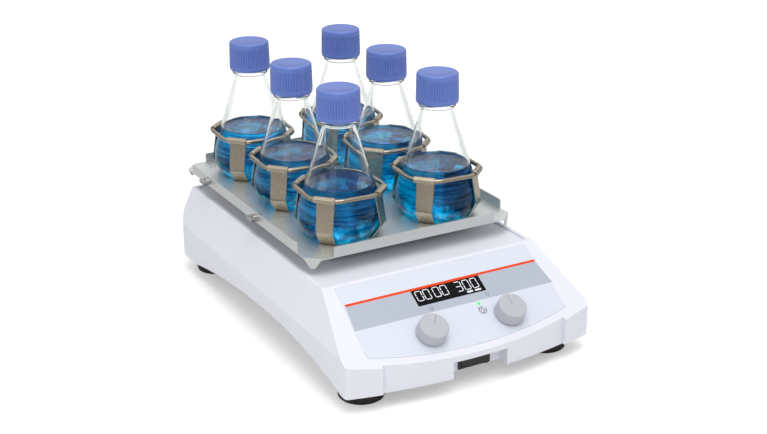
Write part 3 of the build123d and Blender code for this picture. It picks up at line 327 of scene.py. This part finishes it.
film = moulded(
    "panel film", film_white, grain=0.25 * mm,
    depth=0.003 * mm, rough=0.36, mottle=0.02, Coat_Weight=0.15,
)
dress(film, "control_overlay")
line_ink = moulded(
    "orange ink", (236, 72, 24), grain=0.2 * mm,
    depth=0.002 * mm, rough=0.5, mottle=0.1, Specular_IOR_Level=0.1,
)
band_ink = moulded(
    "grey-blue ink", (176, 184, 197), grain=0.2 * mm, depth=0.002 * mm, rough=0.4, mottle=0.06
)
dark_ink = moulded("dark ink", (52, 53, 60), grain=0.2 * mm, depth=0.002 * mm, rough=0.4, mottle=0.1)
line_bottom = line_top + line_width
band_parts = [
    [
        (line_left, line_bottom),
        (band_left, band_bottom),
        (window_left, band_bottom),
        (window_left, line_bottom),
    ],
    box_outline(window_left, window_right, window_low, band_bottom),
    [
        (window_right, line_bottom),
        (window_right, band_bottom),
        (band_right, band_bottom),
        (line_right, line_bottom),
    ],
]
printed("panel_line", [box_outline(line_left, line_right, line_top, line_bottom)], line_ink)
printed("panel_band", band_parts, band_ink)


def ring_outline(center, outer, inner, start=0.0, turn=360.0, steps=28):
    """Quads of a ring or of an arc, with its middle at a place of the panel"""
    quads = []
    for step in range(steps):
        angles = [math.radians(start + turn * (step + end) / steps) for end in (0, 1)]
        corners = [(angles[0], inner), (angles[0], outer), (angles[1], outer), (angles[1], inner)]
        quads.append([(center[0] + r * math.cos(a), center[1] - r * math.sin(a)) for a, r in corners])
    return [list(reversed(quad)) for quad in quads]


def stroke(start, end, width):
    """A straight stroke between two places of the panel"""
    run = Vector((end[0] - start[0], end[1] - start[1]))
    side = Vector((-run.y, run.x)).normalized() * width / 2
    corners = [Vector(start) - side, Vector(start) + side, Vector(end) + side, Vector(end) - side]
    return [tuple(corner) for corner in corners]


clock = (-24.0, 47.4)
arrow = (35.5, 46.6)
sign_ring = (1.9, 1.5)
clock_hands = ((0.0, -1.2), (0.9, 0.0))
hand_width = 0.35
arrow_turn = (20, 290)
arrow_head = ((0.9, -0.5), (2.6, -0.5), (1.75, 0.8))
knob_dots = (((-28.4, 58.6), 0.55), ((-24.9, 60.8), 0.55), ((-22.6, 64.2), 0.4))
legend = ring_outline(clock, *sign_ring)
for across, down in clock_hands:
    legend.append(stroke(clock, (clock[0] + across, clock[1] + down), hand_width))
legend += ring_outline(arrow, *sign_ring, *arrow_turn)
legend.append([(arrow[0] + across, arrow[1] + down) for across, down in arrow_head])
for place, radius in knob_dots:
    legend += ring_outline(place, radius, 0.0, steps=10)
printed("panel_legend", legend, dark_ink)

# Display: a smoked window with white seven-segment digits behind it, a green lamp and
# the small standby button, which has a printed double ring.
digit_height = 10.4
digit_width = 5.9
digit_stroke = 0.8
digit_top = 26.6
digit_lift = 0.02 * mm
digit_places = (("0", -31.6), ("0", -23.6), ("0", -13.6), ("0", -5.6), ("3", 9.6), ("0", 18.0), ("0", 26.4))
segments = {"0": "abcdef", "3": "abcdg"}
unit_bars = ((17.8, 23.8), (26.2, 32.6))
unit_bar_span = (38.7, 40.5)
segment_colours = ((178, 180, 188), (226, 228, 234))
lamp_colours = ((0, 214, 60), (70, 255, 90))
window_glass = moulded(
    "smoked window", (5, 5, 6), grain=0.3 * mm,
    depth=0.001 * mm, rough=0.16, mottle=0.1, Specular_IOR_Level=0.12,
)
dress(window_glass, "display_window")
glow, glow_tree, glow_shader = new_material("display segments", Roughness=0.4, Emission_Strength=0.55)


def blended(tree, share, first, second):
    """Two colours, or colour sockets, mixed by a share"""
    return put(tree, "Mix", {"data_type": "RGBA"}, v0=share, v6=first, v7=second).outputs[2]


spread = noise(glow_tree, put(glow_tree, "TexCoord").outputs["Object"], 900.0)
lit = blended(glow_tree, spread, *[paint(*colour) for colour in segment_colours])
glow_tree.links.new(lit, glow_shader.inputs["Base Color"])
glow_tree.links.new(lit, glow_shader.inputs["Emission Color"])


def digit(value, left):
    """The strokes of one seven-segment digit, whose outlines stand a little apart"""
    right = left + digit_width
    top = digit_top
    middle = digit_top + digit_height / 2
    bottom = digit_top + digit_height
    gap = digit_stroke * 0.55
    runs = {
        "a": ((left + gap, top), (right - gap, top)),
        "b": ((right, top + gap), (right, middle - gap)),
        "c": ((right, middle + gap), (right, bottom - gap)),
        "d": ((left + gap, bottom), (right - gap, bottom)),
        "e": ((left, middle + gap), (left, bottom - gap)),
        "f": ((left, top + gap), (left, middle - gap)),
        "g": ((left + gap, middle), (right - gap, middle)),
    }
    return [stroke(*runs[key], digit_stroke) for key in segments[value]]


readout = []
for value, left in digit_places:
    readout += digit(value, left)
readout += [box_outline(left, right, *unit_bar_span) for left, right in unit_bars]
printed("display_digits", readout, glow, low=film_top + digit_lift)

lamp, lamp_tree, lamp_shader = new_material(
    "green lamp", Roughness=0.25, Emission_Strength=1.6, Coat_Weight=0.5
)
bright = noise(lamp_tree, put(lamp_tree, "TexCoord").outputs["Generated"], 2.5)
lit = blended(lamp_tree, bright, *[paint(*colour) for colour in lamp_colours])
lamp_tree.links.new(lit, lamp_shader.inputs["Base Color"])
lamp_tree.links.new(lit, lamp_shader.inputs["Emission Color"])
dress(lamp, "status_led")

button_place = (22.3, 61.6)
button_top = 0.8 * mm
symbol_rings = ((3.6, 2.9, 60, 330), (1.9, 1.2, 240, 330))
button_plastic = moulded(
    "button plastic", (220, 226, 240), grain=0.25 * mm, depth=0.003 * mm, rough=0.4, mottle=0.05
)
dress(button_plastic, "standby_button")
symbol = []
for outer, inner, start, turn in symbol_rings:
    symbol += ring_outline(button_place, outer, inner, start, turn)
printed("standby_symbol", symbol, dark_ink, "standby_button", button_top)

board = moulded(
    "circuit board", (26, 92, 48), grain=0.9 * mm,
    depth=0.01 * mm, rough=0.35, mottle=0.5, Coat_Weight=0.3,
)
dress(board, "control_board")
display_frame = moulded(
    "display frame", (28, 28, 31), grain=0.5 * mm, depth=0.005 * mm, rough=0.5, mottle=0.1
)
dress(display_frame, "display_module")
stamped_metal = metal("stamped metal", (182, 184, 188), along=(1, 0.2, 1), grain=sheet_grain, rough=0.3)
dress(stamped_metal, "knob_encoders")

# Knobs: two satin grey mouldings with a flat top and a fine pointer line. Each is pressed on the
# steel push shaft of an encoder behind the panel.
knob_places = {"time": (-37.5, 71.7, 58), "speed": (44.5, 71.7, 90)}
pointer_ends = (2.0, 11.4)
pointer_width = 0.5
knob_plastic = moulded(
    "knob plastic", (184, 185, 193), grain=0.35 * mm,
    depth=0.006 * mm, rough=0.38, mottle=0.05, edge=0.4 * mm,
)
pointer_ink = moulded(
    "pointer ink", (128, 129, 138), grain=0.2 * mm, depth=0.002 * mm, rough=0.5, mottle=0.1
)
knob_top = 13.3 * mm
for name, (x, down, aim) in knob_places.items():
    dress(knob_plastic, f"{name}_knob")
    dress(ground_steel, f"{name}_plunger")
    turn = math.radians(aim)
    ends = [(x + reach * math.cos(turn), down - reach * math.sin(turn)) for reach in pointer_ends]
    pointer = [stroke(*ends, pointer_width)]
    printed(f"{name}_pointer", pointer, pointer_ink, f"{name}_knob", knob_top)

# Mains switch: a rocker in a frame, both in black moulded plastic. The frame is snapped into the
# wall of the notch in the front of the case.
switch_plastic = moulded(
    "switch plastic", (33, 31, 33), grain=0.4 * mm,
    depth=0.006 * mm, rough=0.45, mottle=0.2, edge=0.2 * mm,
)
dress(switch_plastic, "switch_body")
rocker_plastic = moulded(
    "rocker plastic", (38, 35, 37), grain=0.3 * mm,
    depth=0.002 * mm, rough=0.25, mottle=0.1, edge=0.3 * mm,
)
dress(rocker_plastic, "rocker")

# Tray: one folded aluminium sheet with a satin anodised finish, rolled along its length.
# Winged thumb screws go through its side flanges.
tray_metal = metal(
    "satin aluminium", (222, 224, 223), along=(1, 0.05, 1),
    grain=0.5 * mm, rough=0.5, contrast=0.12, depth=0.001 * mm, edge=0.35 * mm,
)
dress(tray_metal, "tray")
plated_steel = metal(
    "plated steel", (176, 174, 172), along=(1, 1, 1), grain=sheet_grain, rough=0.24, edge=0.3 * mm
)
dress(plated_steel, "thumb_screws")

# Spring clamps: two crossed strips of rolled spring steel under each flask, folded at the heel,
# with their ends rolled over a polished steel wire ring: a square with its corners cut.
tray_floor = 102.2
flask_spots = [(x, y) for x in (-52.5, 52.5) for y in (-41.25, 56.0, 153.25)]
strip_sheet = 1.0
strip_widths = (15.5, 17.8)
clamp_turn = -2.5
sleeve_width = 20.8
ring_level = 147.2
ring_reach = 39.76
ring_half = 37.67
ring_wire = 4.4
ring_bend = 12.0
fold_low = (34.26, tray_floor + strip_sheet / 2)
fold_high = (42.4, tray_floor + 13.28)
fold_radii = (3.0, 3.2)
sleeve_play = 0.1
sleeve_lap = Vector((-0.35, 2.2))
sleeve_drops = (0.8, 1.6, 2.2)
sleeve_steps = 12
sleeve_point = 1.6
edge_radius = 0.25
arm_turns = (45, 135, 225, 315)


def rounded(corners, radii, closed=False, steps=6):
    """A path through corners that are rounded by radii"""
    path = []
    count = len(corners)
    for index, corner in enumerate(corners):
        radius = radii[index]
        if not radius:
            path.append(Vector(corner))
            continue
        here = Vector(corner)
        back = (Vector(corners[index - 1]) - here).normalized()
        ahead = (Vector(corners[(index + 1) % count]) - here).normalized()
        half = back.angle(ahead) / 2
        middle = here + (back + ahead).normalized() * radius / math.sin(half)
        start = here + back * radius / math.tan(half) - middle
        end = here + ahead * radius / math.tan(half) - middle
        swing = start.angle(end)
        for step in range(steps + 1):
            share = step / steps
            mix = start * math.sin((1 - share) * swing) + end * math.sin(share * swing)
            path.append(middle + mix / math.sin(swing))
    return path


def bent_strip(path, widths, sheet):
    """A strip of sheet that follows a path in the XZ plane, with its width along Y"""
    points = []
    faces = []
    for index, here in enumerate(path):
        before = path[max(index - 1, 0)]
        after = path[min(index + 1, len(path) - 1)]
        run = (after - before).normalized()
        out = Vector((-run.y, run.x)) * sheet / 2
        half = widths[index] / 2
        for side in (-1, 1):
            for face in (-1, 1):
                spot = here + out * face
                points.append((spot.x * mm, side * half * mm, spot.y * mm))
    for index in range(len(path) - 1):
        low = 4 * index
        for first, second in ((0, 1), (1, 3), (3, 2), (2, 0)):
            faces.append((low + first, low + second, low + 4 + second, low + 4 + first))
    faces.append((2, 3, 1, 0))
    last = 4 * (len(path) - 1)
    faces.append((last, last + 1, last + 3, last + 2))
    return points, faces


def tube(path, radius, sides, closed):
    """A round wire along a path in space"""
    points = []
    faces = []
    count = len(path)
    for index, here in enumerate(path):
        before = path[index - 1] if closed or index else here
        after = path[(index + 1) % count] if closed or index < count - 1 else here
        run = (after - before).normalized()
        side = run.cross(Vector((0, 0, 1))).normalized()
        rise = side.cross(run)
        for step in range(sides):
            angle = 2 * math.pi * step / sides
            points.append(here + (side * math.cos(angle) + rise * math.sin(angle)) * radius)
    for index in range(count if closed else count - 1):
        low = index * sides
        high = (index + 1) % count * sides
        for step in range(sides):
            after = (step + 1) % sides
            faces.append((low + step, low + after, high + after, high + step))
    return points, faces


def joined(*parts):
    """Several lists of points and faces as one"""
    points = []
    faces = []
    for more_points, more_faces in parts:
        faces += [tuple(corner + len(points) for corner in face) for face in more_faces]
        points += more_points
    return points, faces


def turned_round(part, degrees):
    """A part turned about Z"""
    turn = Matrix.Rotation(math.radians(degrees), 3, "Z")
    return [turn @ Vector(point) for point in part[0]], part[1]


wrap = ring_wire / 2 + strip_sheet / 2 + sleeve_play
strip_top = (ring_reach - wrap, ring_level)
strip_path = rounded([(0, fold_low[1]), fold_low, fold_high, strip_top], (0, *fold_radii, 0))
height_span = strip_top[1] - tray_floor
widths = []
for spot in strip_path:
    share = max(0.0, spot.y - tray_floor) / height_span
    widths.append(strip_widths[0] + (strip_widths[1] - strip_widths[0]) * share)
sleeve_path = [Vector(strip_top) - sleeve_lap]
for step in range(sleeve_steps + 1):
    angle = math.pi - math.pi * step / sleeve_steps
    sleeve_path.append(Vector((ring_reach + wrap * math.cos(angle), ring_level + wrap * math.sin(angle))))
sleeve_path += [Vector((ring_reach + wrap, ring_level - drop)) for drop in sleeve_drops]
sleeve_widths = [sleeve_width] * (len(sleeve_path) - 1) + [sleeve_width - sleeve_point]
arm = joined(
    bent_strip(strip_path, widths, strip_sheet), bent_strip(sleeve_path, sleeve_widths, strip_sheet)
)
strip_parts = [turned_round(arm, turn + clamp_turn) for turn in arm_turns]
strip_points, strip_faces = joined(*strip_parts)

aside = ring_half * math.sqrt(2) - ring_reach
ring_corners = []
for turn in arm_turns:
    for shift in (-aside, aside):
        corner = Matrix.Rotation(math.radians(turn + clamp_turn), 2) @ Vector((ring_reach, shift))
        ring_corners.append(Vector((*corner, ring_level)))
ring_path = [spot * mm for spot in rounded(ring_corners, [ring_bend] * 8, closed=True, steps=8)]
ring_points, ring_faces = tube(ring_path, ring_wire / 2 * mm, sides=20, closed=True)

strip_steel = metal(
    "rolled spring steel", (178, 168, 150), along=(1, 1, 0.04),
    grain=0.4 * mm, rough=0.28, contrast=0.3, depth=0.002 * mm,
)
wire_steel = metal(
    "polished wire", (160, 151, 136), along=(1, 1, 1),
    grain=1.5 * mm, rough=0.12, contrast=0.15, depth=0.001 * mm,
)
for number, (x, y) in enumerate(flask_spots, start=1):
    shift = Vector((x * mm, y * mm, 0))
    strips_here = [Vector(point) + shift for point in strip_points]
    strips = piece(f"clamp_strips_{number}", strips_here, strip_faces, strip_steel, "platform")
    soften = strips.modifiers.new("edges", "BEVEL")
    soften.width = edge_radius * mm
    soften.segments = 2
    soften.limit_method = "ANGLE"
    soften.angle_limit = math.radians(50)
    ring_here = [Vector(point) + shift for point in ring_points]
    ring = piece(f"clamp_ring_{number}", ring_here, ring_faces, wire_steel, "platform")
    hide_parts(f"flask_clamp_{number}")
    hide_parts(f"flask_clamp_{number}")

# Flasks: conical flasks blown in clear borosilicate glass, with a rounded heel, a beaded neck
# and a lip. A clear blue medium fills the lower third and creeps up the wall at its edge.
flask_bottom = 103.4
flask_height = 136.0
flask_radius = 40.0
flask_foot = 32.0
heel_height = 16.0
belly_radius = 60.0
cone_angle = 17.9
neck_radius = 15.5
neck_blend = 14.0
bead_radius = 18.0
bead_level = 105.2
bead_height = 4.0
bead_root = 0.5
bead_ease = 0.2
bead_blend = 1.0
glass_wall = 1.3
punt_rise = 1.6
medium_level = 47.4
meniscus_rise = 2.0
meniscus_fade = 1.5
meniscus_reach = (0.0, 0.5, 1.1, 1.9, 2.9, 4.4, 6.5, 10.0, 20.0, 30.0)
meniscus_room = 3.0
glass_overlap = 0.35
heel_radius = (heel_height**2 + (flask_radius - flask_foot) ** 2) / (2 * (flask_radius - flask_foot))
lathe_steps = 128


def arc(middle, radius, start, end, steps):
    """Points of an arc, by degrees from the first axis"""
    angles = [math.radians(start + (end - start) * step / steps) for step in range(steps + 1)]
    return [(middle[0] + radius * math.cos(angle), middle[1] + radius * math.sin(angle)) for angle in angles]


def flask_wall(inset):
    """A flask's profile from its foot to its neck, drawn in by an inset"""
    lean = math.radians(cone_angle)
    heel = heel_radius - inset
    heel_middle = (flask_radius - heel_radius, heel_height)
    lowest = math.degrees(math.asin(min(1.0, (heel_height - inset) / heel)))
    profile = arc(heel_middle, heel, -lowest, 0, 12)
    belly_middle = (flask_radius - belly_radius, heel_height)
    profile += arc(belly_middle, belly_radius - inset, 0, cone_angle, 10)[1:]
    cone_foot = profile[-1]
    neck = neck_radius - inset
    neck_level = cone_foot[1] + (cone_foot[0] - neck) / math.tan(lean)
    blend = neck_blend + inset
    reach = blend * math.tan(lean / 2)
    blend_middle = (neck + blend, neck_level + reach)
    cone_steps = 8
    start = arc(blend_middle, blend, 180 + cone_angle, 180, 6)
    for step in range(1, cone_steps):
        share = step / cone_steps
        profile.append(tuple(a + (b - a) * share for a, b in zip(cone_foot, start[0])))
    return profile + start


def turned(profile, steps=lathe_steps, cut=None):
    """Points and faces turned about Z from (radius, height), with an optional cut by angle and height"""
    points = []
    faces = []
    rings = []
    for radius, height in profile:
        if radius < 1e-6:
            rings.append([len(points)])
            points.append((0, 0, height * mm))
            continue
        rings.append(list(range(len(points), len(points) + steps)))
        for step in range(steps):
            angle = 2 * math.pi * step / steps
            reach = (radius - (cut(step, radius, height) if cut else 0)) * mm
            points.append((reach * math.cos(angle), reach * math.sin(angle), height * mm))
    for low, high in zip(rings, rings[1:]):
        for step in range(steps):
            after = (step + 1) % steps
            if len(low) == 1:
                faces.append((low[0], high[after], high[step]))
            elif len(high) == 1:
                faces.append((low[step], low[after], high[0]))
            else:
                faces.append((low[step], low[after], high[after], high[step]))
    return points, faces


def punt(inset, foot):
    """The hollow under the flask, from its middle to its foot"""
    spots = [foot * share for share in (0, 0.25, 0.5, 0.7, 0.85, 0.95)]
    return [(radius, inset + punt_rise * (1 - (radius / foot) ** 2) ** 2) for radius in spots]


outer_wall = flask_wall(0)
inner_wall = flask_wall(glass_wall)
bead_fillet = bead_height / 2 - bead_ease
bead_side = bead_radius - bead_fillet
bead_head = bead_level + bead_height
bead = [(neck_radius, bead_level - bead_blend), (neck_radius + bead_root, bead_level - bead_ease)]
bead += arc((bead_side, bead_level + bead_fillet), bead_fillet, -90, 0, 5)
bead += arc((bead_side, bead_head - bead_fillet), bead_fillet, 0, 90, 5)
bead += [(neck_radius + bead_root, bead_head + bead_ease), (neck_radius, bead_head + bead_blend)]
lip_radius = glass_wall / 2
lip = arc((neck_radius - lip_radius, flask_height - lip_radius), lip_radius, 0, 180, 8)
glass_profile = punt(0, outer_wall[0][0]) + outer_wall + bead + lip
glass_profile += list(reversed(inner_wall)) + list(reversed(punt(glass_wall, inner_wall[0][0])))

glass_face_on_tint = (0.985, 0.99, 0.98, 1)
glass_edge_painted_shade = (0.46, 0.53, 0.52, 1)
glass_shadow = (0.93, 0.95, 0.95, 1)


def ranged(tree, value, start, end, low, high):
    """A value that goes from low to high while another goes from start to end"""
    return put(tree, "MapRange", Value=value, v1=start, v2=end, v3=low, v4=high).outputs[0]


clear_glass, glass_tree, glass_shader = new_material(
    "borosilicate glass",
    Transmission_Weight=1.0,
    Roughness=0.0,
    IOR=1.47,
    Specular_Tint=(0.36, 0.36, 0.36, 1.0),
)
glass_wave = noise(glass_tree, put(glass_tree, "TexCoord").outputs["Object"], 22.0, 1.0)
glass_bump = put(glass_tree, "Bump", Height=glass_wave, Distance=0.5 * mm, Strength=0.12)
glass_tree.links.new(glass_bump.outputs[0], glass_shader.inputs["Normal"])
# The glass keeps its own faint tint face-on and darkens towards its grazing edges: painted edge shade for the
# dark outline of the glass.
grazing = put(glass_tree, "LayerWeight", Blend=0.5).outputs["Facing"]
glass_tint_and_painted_edge_shade = blended(glass_tree, ranged(glass_tree, grazing, 0.4, 1.0, 0.0, 1.0), glass_face_on_tint, glass_edge_painted_shade)
glass_tree.links.new(glass_tint_and_painted_edge_shade, glass_shader.inputs["Base Color"])


def let_lamps_through(tree, shader, colour):
    """Puts a Transparent shader in for lamp rays, so that what is behind glass stays lit"""
    clear = put(tree, "BsdfTransparent", Color=colour)
    path = put(tree, "LightPath").outputs["Is Shadow Ray"]
    swap = put(tree, "MixShader", v0=path, v1=shader.outputs[0], v2=clear.outputs[0])
    tree.links.new(swap.outputs[0], tree.nodes["Material Output"].inputs["Surface"])


let_lamps_through(glass_tree, glass_shader, glass_shadow)

medium_inset = glass_wall - glass_overlap
medium_wall = [spot for spot in flask_wall(medium_inset) if spot[1] < medium_level - meniscus_room]
lean_in = math.tan(math.radians(cone_angle))
wall_at_level = medium_wall[-1][0] - (medium_level - medium_wall[-1][1]) * lean_in
meniscus = []
for inward in meniscus_reach:
    rise = meniscus_rise * math.exp(-inward / meniscus_fade)
    meniscus.append((wall_at_level - rise * lean_in - inward, medium_level + rise))
medium_profile = punt(medium_inset, medium_wall[0][0]) + medium_wall + meniscus + [(0, medium_level)]

layer_scale = (16.0, 16.0, 380.0)
sparkle_scale = 110.0
foot_levels = (0.112, 0.128)
painted_caustic_levels = (0.107, 0.132)
painted_shade_streak = (0.03, 0.18, 0.3, 1)
painted_light_streak = (0.85, 1.0, 1.0, 1)
painted_shade_at_foot = (0.12, 0.5, 0.55, 1)
painted_light_at_foot = (1.0, 1.0, 1.0, 1)
painted_caustic_colours = ((0, 0, 0, 1), (0.0, 0.36, 0.5, 1))
medium_shadow = (0.5, 0.75, 0.88, 1)
# The medium's emission strength lights the painted caustic patches set below.
blue_medium, medium_tree, medium_shader = new_material(
    "blue medium",
    Transmission_Weight=1.0,
    Roughness=0.0,
    IOR=1.33,
    Specular_Tint=(0.0, 0.0, 0.0, 1.0),
    Emission_Strength=0.6,
)
medium_place = put(medium_tree, "TexCoord").outputs["Object"]
layers = put(medium_tree, "VectorMath", {"operation": "MULTIPLY"}, v0=medium_place, v1=layer_scale).outputs[0]
layer_waves = noise(medium_tree, layers, 1.0, 3.0)
sparkle = noise(medium_tree, medium_place, sparkle_scale, 2.0)
depth = put(medium_tree, "SeparateXYZ", Vector=medium_place).outputs["Z"]
near_foot = ranged(medium_tree, depth, *foot_levels, 1.0, 0.0)
waves = put(medium_tree, "Mix", {"data_type": "FLOAT"}, v0=near_foot, v2=layer_waves, v3=sparkle).outputs[0]
medium_bump = put(medium_tree, "Bump", Height=waves, Distance=1.2 * mm, Strength=0.8)
medium_tree.links.new(medium_bump.outputs[0], medium_shader.inputs["Normal"])
# The medium's colour is painted with dark and pale horizontal streaks, paler near the foot: painted light and
# shade for light refracted through the medium.
painted_streak_mask = ranged(medium_tree, waves, 0.4, 0.58, 0.0, 1.0)
painted_streak_tint = blended(medium_tree, painted_streak_mask, painted_shade_streak, painted_light_streak)
painted_foot_tint = blended(medium_tree, painted_streak_mask, painted_shade_at_foot, painted_light_at_foot)
painted_light_and_shade_tint = blended(medium_tree, near_foot, painted_streak_tint, painted_foot_tint)
medium_tree.links.new(painted_light_and_shade_tint, medium_shader.inputs["Base Color"])
# Bright blue patches low in the medium glow by emission: a painted caustic, light the medium gives off though
# it is no lamp.
painted_caustic_patches = ranged(medium_tree, sparkle, 0.5, 0.64, 0.0, 1.0)
painted_caustic_mask = calc(medium_tree, "MULTIPLY", ranged(medium_tree, depth, *painted_caustic_levels, 1.0, 0.0), painted_caustic_patches)
medium_tree.links.new(blended(medium_tree, painted_caustic_mask, *painted_caustic_colours), medium_shader.inputs["Emission Color"])
dye = put(medium_tree, "VolumeAbsorption", Color=(0.0, 0.947, 0.987, 1), Density=260.0)
medium_tree.links.new(dye.outputs[0], medium_tree.nodes["Material Output"].inputs["Volume"])
let_lamps_through(medium_tree, medium_shader, medium_shadow)

for number, (x, y) in enumerate(flask_spots, start=1):
    shift = Vector((x, y, flask_bottom)) * mm
    for label, profile, material, slot in (
        ("glass", glass_profile, clear_glass, "flask_glass"),
        ("liquid", medium_profile, blue_medium, "medium_blue"),
    ):
        points, faces = turned(profile)
        points = [Vector(point) + shift for point in points]
        made = piece(f"{label}_{number}", points, faces, material, f"flask_{number}", 60)
        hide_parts(f"flask_{number}" if label == "glass" else f"medium_{number}")

# Caps: blue screw caps in satin polypropylene with a rounded top edge, fine upright grooves all
# round and a smooth band at the foot. They stand on the bead of the neck.
cap_bottom = 213.1
cap_height = 29.0
cap_radius = 20.5
cap_taper = 0.6
cap_edge = 2.6
cap_bore = 17.9
cap_roof = 26.6
roof_chamfer = 1.0
mouth_chamfer = 0.3
cap_skirt = ((0.9, 0.0), (0.5, 0.2), (0.1, 1.6))
lid_radii = (14.9, 7.0, 0)
lid_rim = 15.4
lid_sink = 0.25
groove_count = 48
groove_samples = (0, 0, 0, 0.45, 0.8, 0.45)
groove_foot = 3.2
groove_head = 23.4
groove_fade = 1.6
groove_play = 0.1
fade_rows = (0.0, 0.6, 1.1, groove_fade)


def cap_groove(step, radius, height):
    """How deep the grooves are at one step round the cap and at a height"""
    if radius < cap_radius - cap_taper - groove_play:
        return 0.0
    inside = min(height - groove_foot, groove_head - height) / groove_fade
    return groove_samples[step % len(groove_samples)] * min(max(inside, 0.0), 1.0)


cap_side = cap_radius - cap_taper
cap_profile = [(0, cap_roof), (cap_bore - roof_chamfer, cap_roof), (cap_bore, cap_roof - roof_chamfer)]
cap_profile += [(cap_bore, mouth_chamfer), (cap_bore + mouth_chamfer, 0.0)]
cap_profile += [(cap_radius - inward, height) for inward, height in cap_skirt]
rows = [2.0, *[groove_foot + rise for rise in fade_rows], 8.0, 13.0, 18.0]
rows += [*[groove_head - rise for rise in reversed(fade_rows)], 25.0]
for height in rows:
    cap_profile.append((cap_radius - cap_taper * height / cap_height, height))
cap_profile += arc((cap_side - cap_edge, cap_height - cap_edge), cap_edge, 6, 84, 8)
cap_profile += [(lid_rim, cap_height)] + [(radius, cap_height - lid_sink) for radius in lid_radii]
cap_points, cap_faces = turned(cap_profile, groove_count * len(groove_samples), cap_groove)
cap_plastic = moulded(
    "cap plastic", (98, 122, 196), grain=0.5 * mm, depth=0.008 * mm, rough=0.32, mottle=0.06
)
for number, (x, y) in enumerate(flask_spots, start=1):
    shift = Vector((x, y, cap_bottom)) * mm
    cap_here = [Vector(point) + shift for point in cap_points]
    cap = piece(f"screw_cap_{number}", cap_here, cap_faces, cap_plastic, f"cap_{number}")
    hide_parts(f"cap_{number}")

# Floor, light and camera: a white sweep that keeps the shadow, a broad soft lamp overhead,
# a weaker one from the left, and the camera where the photograph was taken.
floor_half = 3.0
paper_colours = ((0.86, 0.86, 0.865, 1), (0.9, 0.9, 0.9, 1))
paper_in_mirrors = (0.68, 0.68, 0.68, 1)
lift_reach = (0.7, 2.6)
lift_strengths = (0.34, 0.6)
floor_corners = [(x * floor_half, y * floor_half, 0) for x, y in ((-1, -1), (1, -1), (1, 1), (-1, 1))]
floor_mesh = bpy.data.meshes.new("floor")
floor_mesh.from_pydata(floor_corners, [], [(0, 1, 2, 3)])
floor = bpy.data.objects.new("floor", floor_mesh)
bpy.context.scene.collection.objects.link(floor)
floor_paper, floor_tree, floor_shader = new_material("floor paper", Roughness=0.9)
floor_place = put(floor_tree, "TexCoord").outputs["Object"]
paper = blended(floor_tree, noise(floor_tree, floor_place, 400.0), *paper_colours)
floor_path = put(floor_tree, "LightPath").outputs
seen = calc(floor_tree, "MAXIMUM", floor_path["Is Camera Ray"], floor_path["Is Transmission Ray"])
in_mirrors = calc(floor_tree, "SUBTRACT", floor_path["Is Glossy Ray"], seen)
in_mirrors = calc(floor_tree, "MAXIMUM", in_mirrors, 0.0)
dimmed = blended(floor_tree, in_mirrors, paper, paper_in_mirrors)
floor_tree.links.new(dimmed, floor_shader.inputs["Base Color"])
from_middle = put(floor_tree, "VectorMath", {"operation": "LENGTH"}, v0=floor_place).outputs["Value"]
lift_share = ranged(floor_tree, from_middle, *lift_reach, *lift_strengths)
lift = put(floor_tree, "Emission", Strength=calc(floor_tree, "MULTIPLY", seen, lift_share))
floor_sum = put(floor_tree, "AddShader", v0=floor_shader.outputs[0], v1=lift.outputs[0])
floor_tree.links.new(floor_sum.outputs[0], floor_tree.nodes["Material Output"].inputs["Surface"])
floor_mesh.materials.append(floor_paper)

world = bpy.data.worlds.new("studio")
bpy.context.scene.world = world
world.use_nodes = True
sky = world.node_tree
backdrop = sky.nodes["Background"]
sky_path = put(sky, "LightPath").outputs
sky_up = put(sky, "SeparateXYZ", Vector=put(sky, "TexCoord").outputs["Generated"]).outputs
height_share = ranged(sky, sky_up["Z"], -0.1, 0.9, 0.64, 0.74)
mirror_share = ranged(sky, sky_up["Z"], 0.05, 0.5, 0.26, 1.0)
front_share = ranged(sky, sky_up["Y"], -0.85, -0.25, 0.85, 1.0)
mirror_share = calc(sky, "MULTIPLY", mirror_share, front_share)
direct = calc(sky, "MAXIMUM", sky_path["Is Camera Ray"], sky_path["Is Transmission Ray"])
glossy = sky_path["Is Glossy Ray"]
mirrored = put(sky, "Mix", {"data_type": "FLOAT"}, v0=glossy, v2=height_share, v3=mirror_share)
sky_strength = put(sky, "Mix", {"data_type": "FLOAT"}, v0=direct, v2=mirrored.outputs[0], v3=1.0)
sky.links.new(sky_strength.outputs[0], backdrop.inputs["Strength"])
backdrop.inputs["Color"].default_value = (1, 1, 1, 1)


def soft_lamp(name, place, aim, size, power):
    """A square area lamp at a place, turned towards a point"""
    data = bpy.data.lights.new(name, "AREA")
    data.size = size
    data.energy = power
    lamp_object = bpy.data.objects.new(name, data)
    lamp_object.location = place
    lamp_object.rotation_euler = (Vector(aim) - Vector(place)).to_track_quat("-Z", "Y").to_euler()
    bpy.context.scene.collection.objects.link(lamp_object)


lamp_aim = (0, 0, 0.1)
soft_lamp("overhead", (-0.1, -0.5, 1.7), lamp_aim, size=1.2, power=12.5)
soft_lamp("left", (-1.3, -1.0, 0.9), lamp_aim, size=0.8, power=3.0)

camera_place = Vector((-600.8, -1096.5, 587.5)) * mm
camera_aim = Vector((-26.2, -77.0, 123.4)) * mm
camera_roll = -0.19
camera_lens = 64.34
light_bounces = 24
camera_data = bpy.data.cameras.new("camera")
camera_data.lens = camera_lens
camera_data.sensor_width = 36.0
camera_data.sensor_fit = "HORIZONTAL"
camera_data.clip_start = 0.01
camera = bpy.data.objects.new("camera", camera_data)
level = (camera_aim - camera_place).to_track_quat("-Z", "Y").to_matrix()
tilted = level @ Matrix.Rotation(math.radians(camera_roll), 3, "Z")
camera.matrix_world = Matrix.Translation(camera_place) @ tilted.to_4x4()
bpy.context.scene.collection.objects.link(camera)
scene = bpy.context.scene
scene.camera = camera
scene.view_settings.view_transform = "Standard"
scene.cycles.use_denoising = True
scene.cycles.max_bounces = light_bounces
scene.cycles.transmission_bounces = light_bounces
scene.cycles.transparent_max_bounces = light_bounces
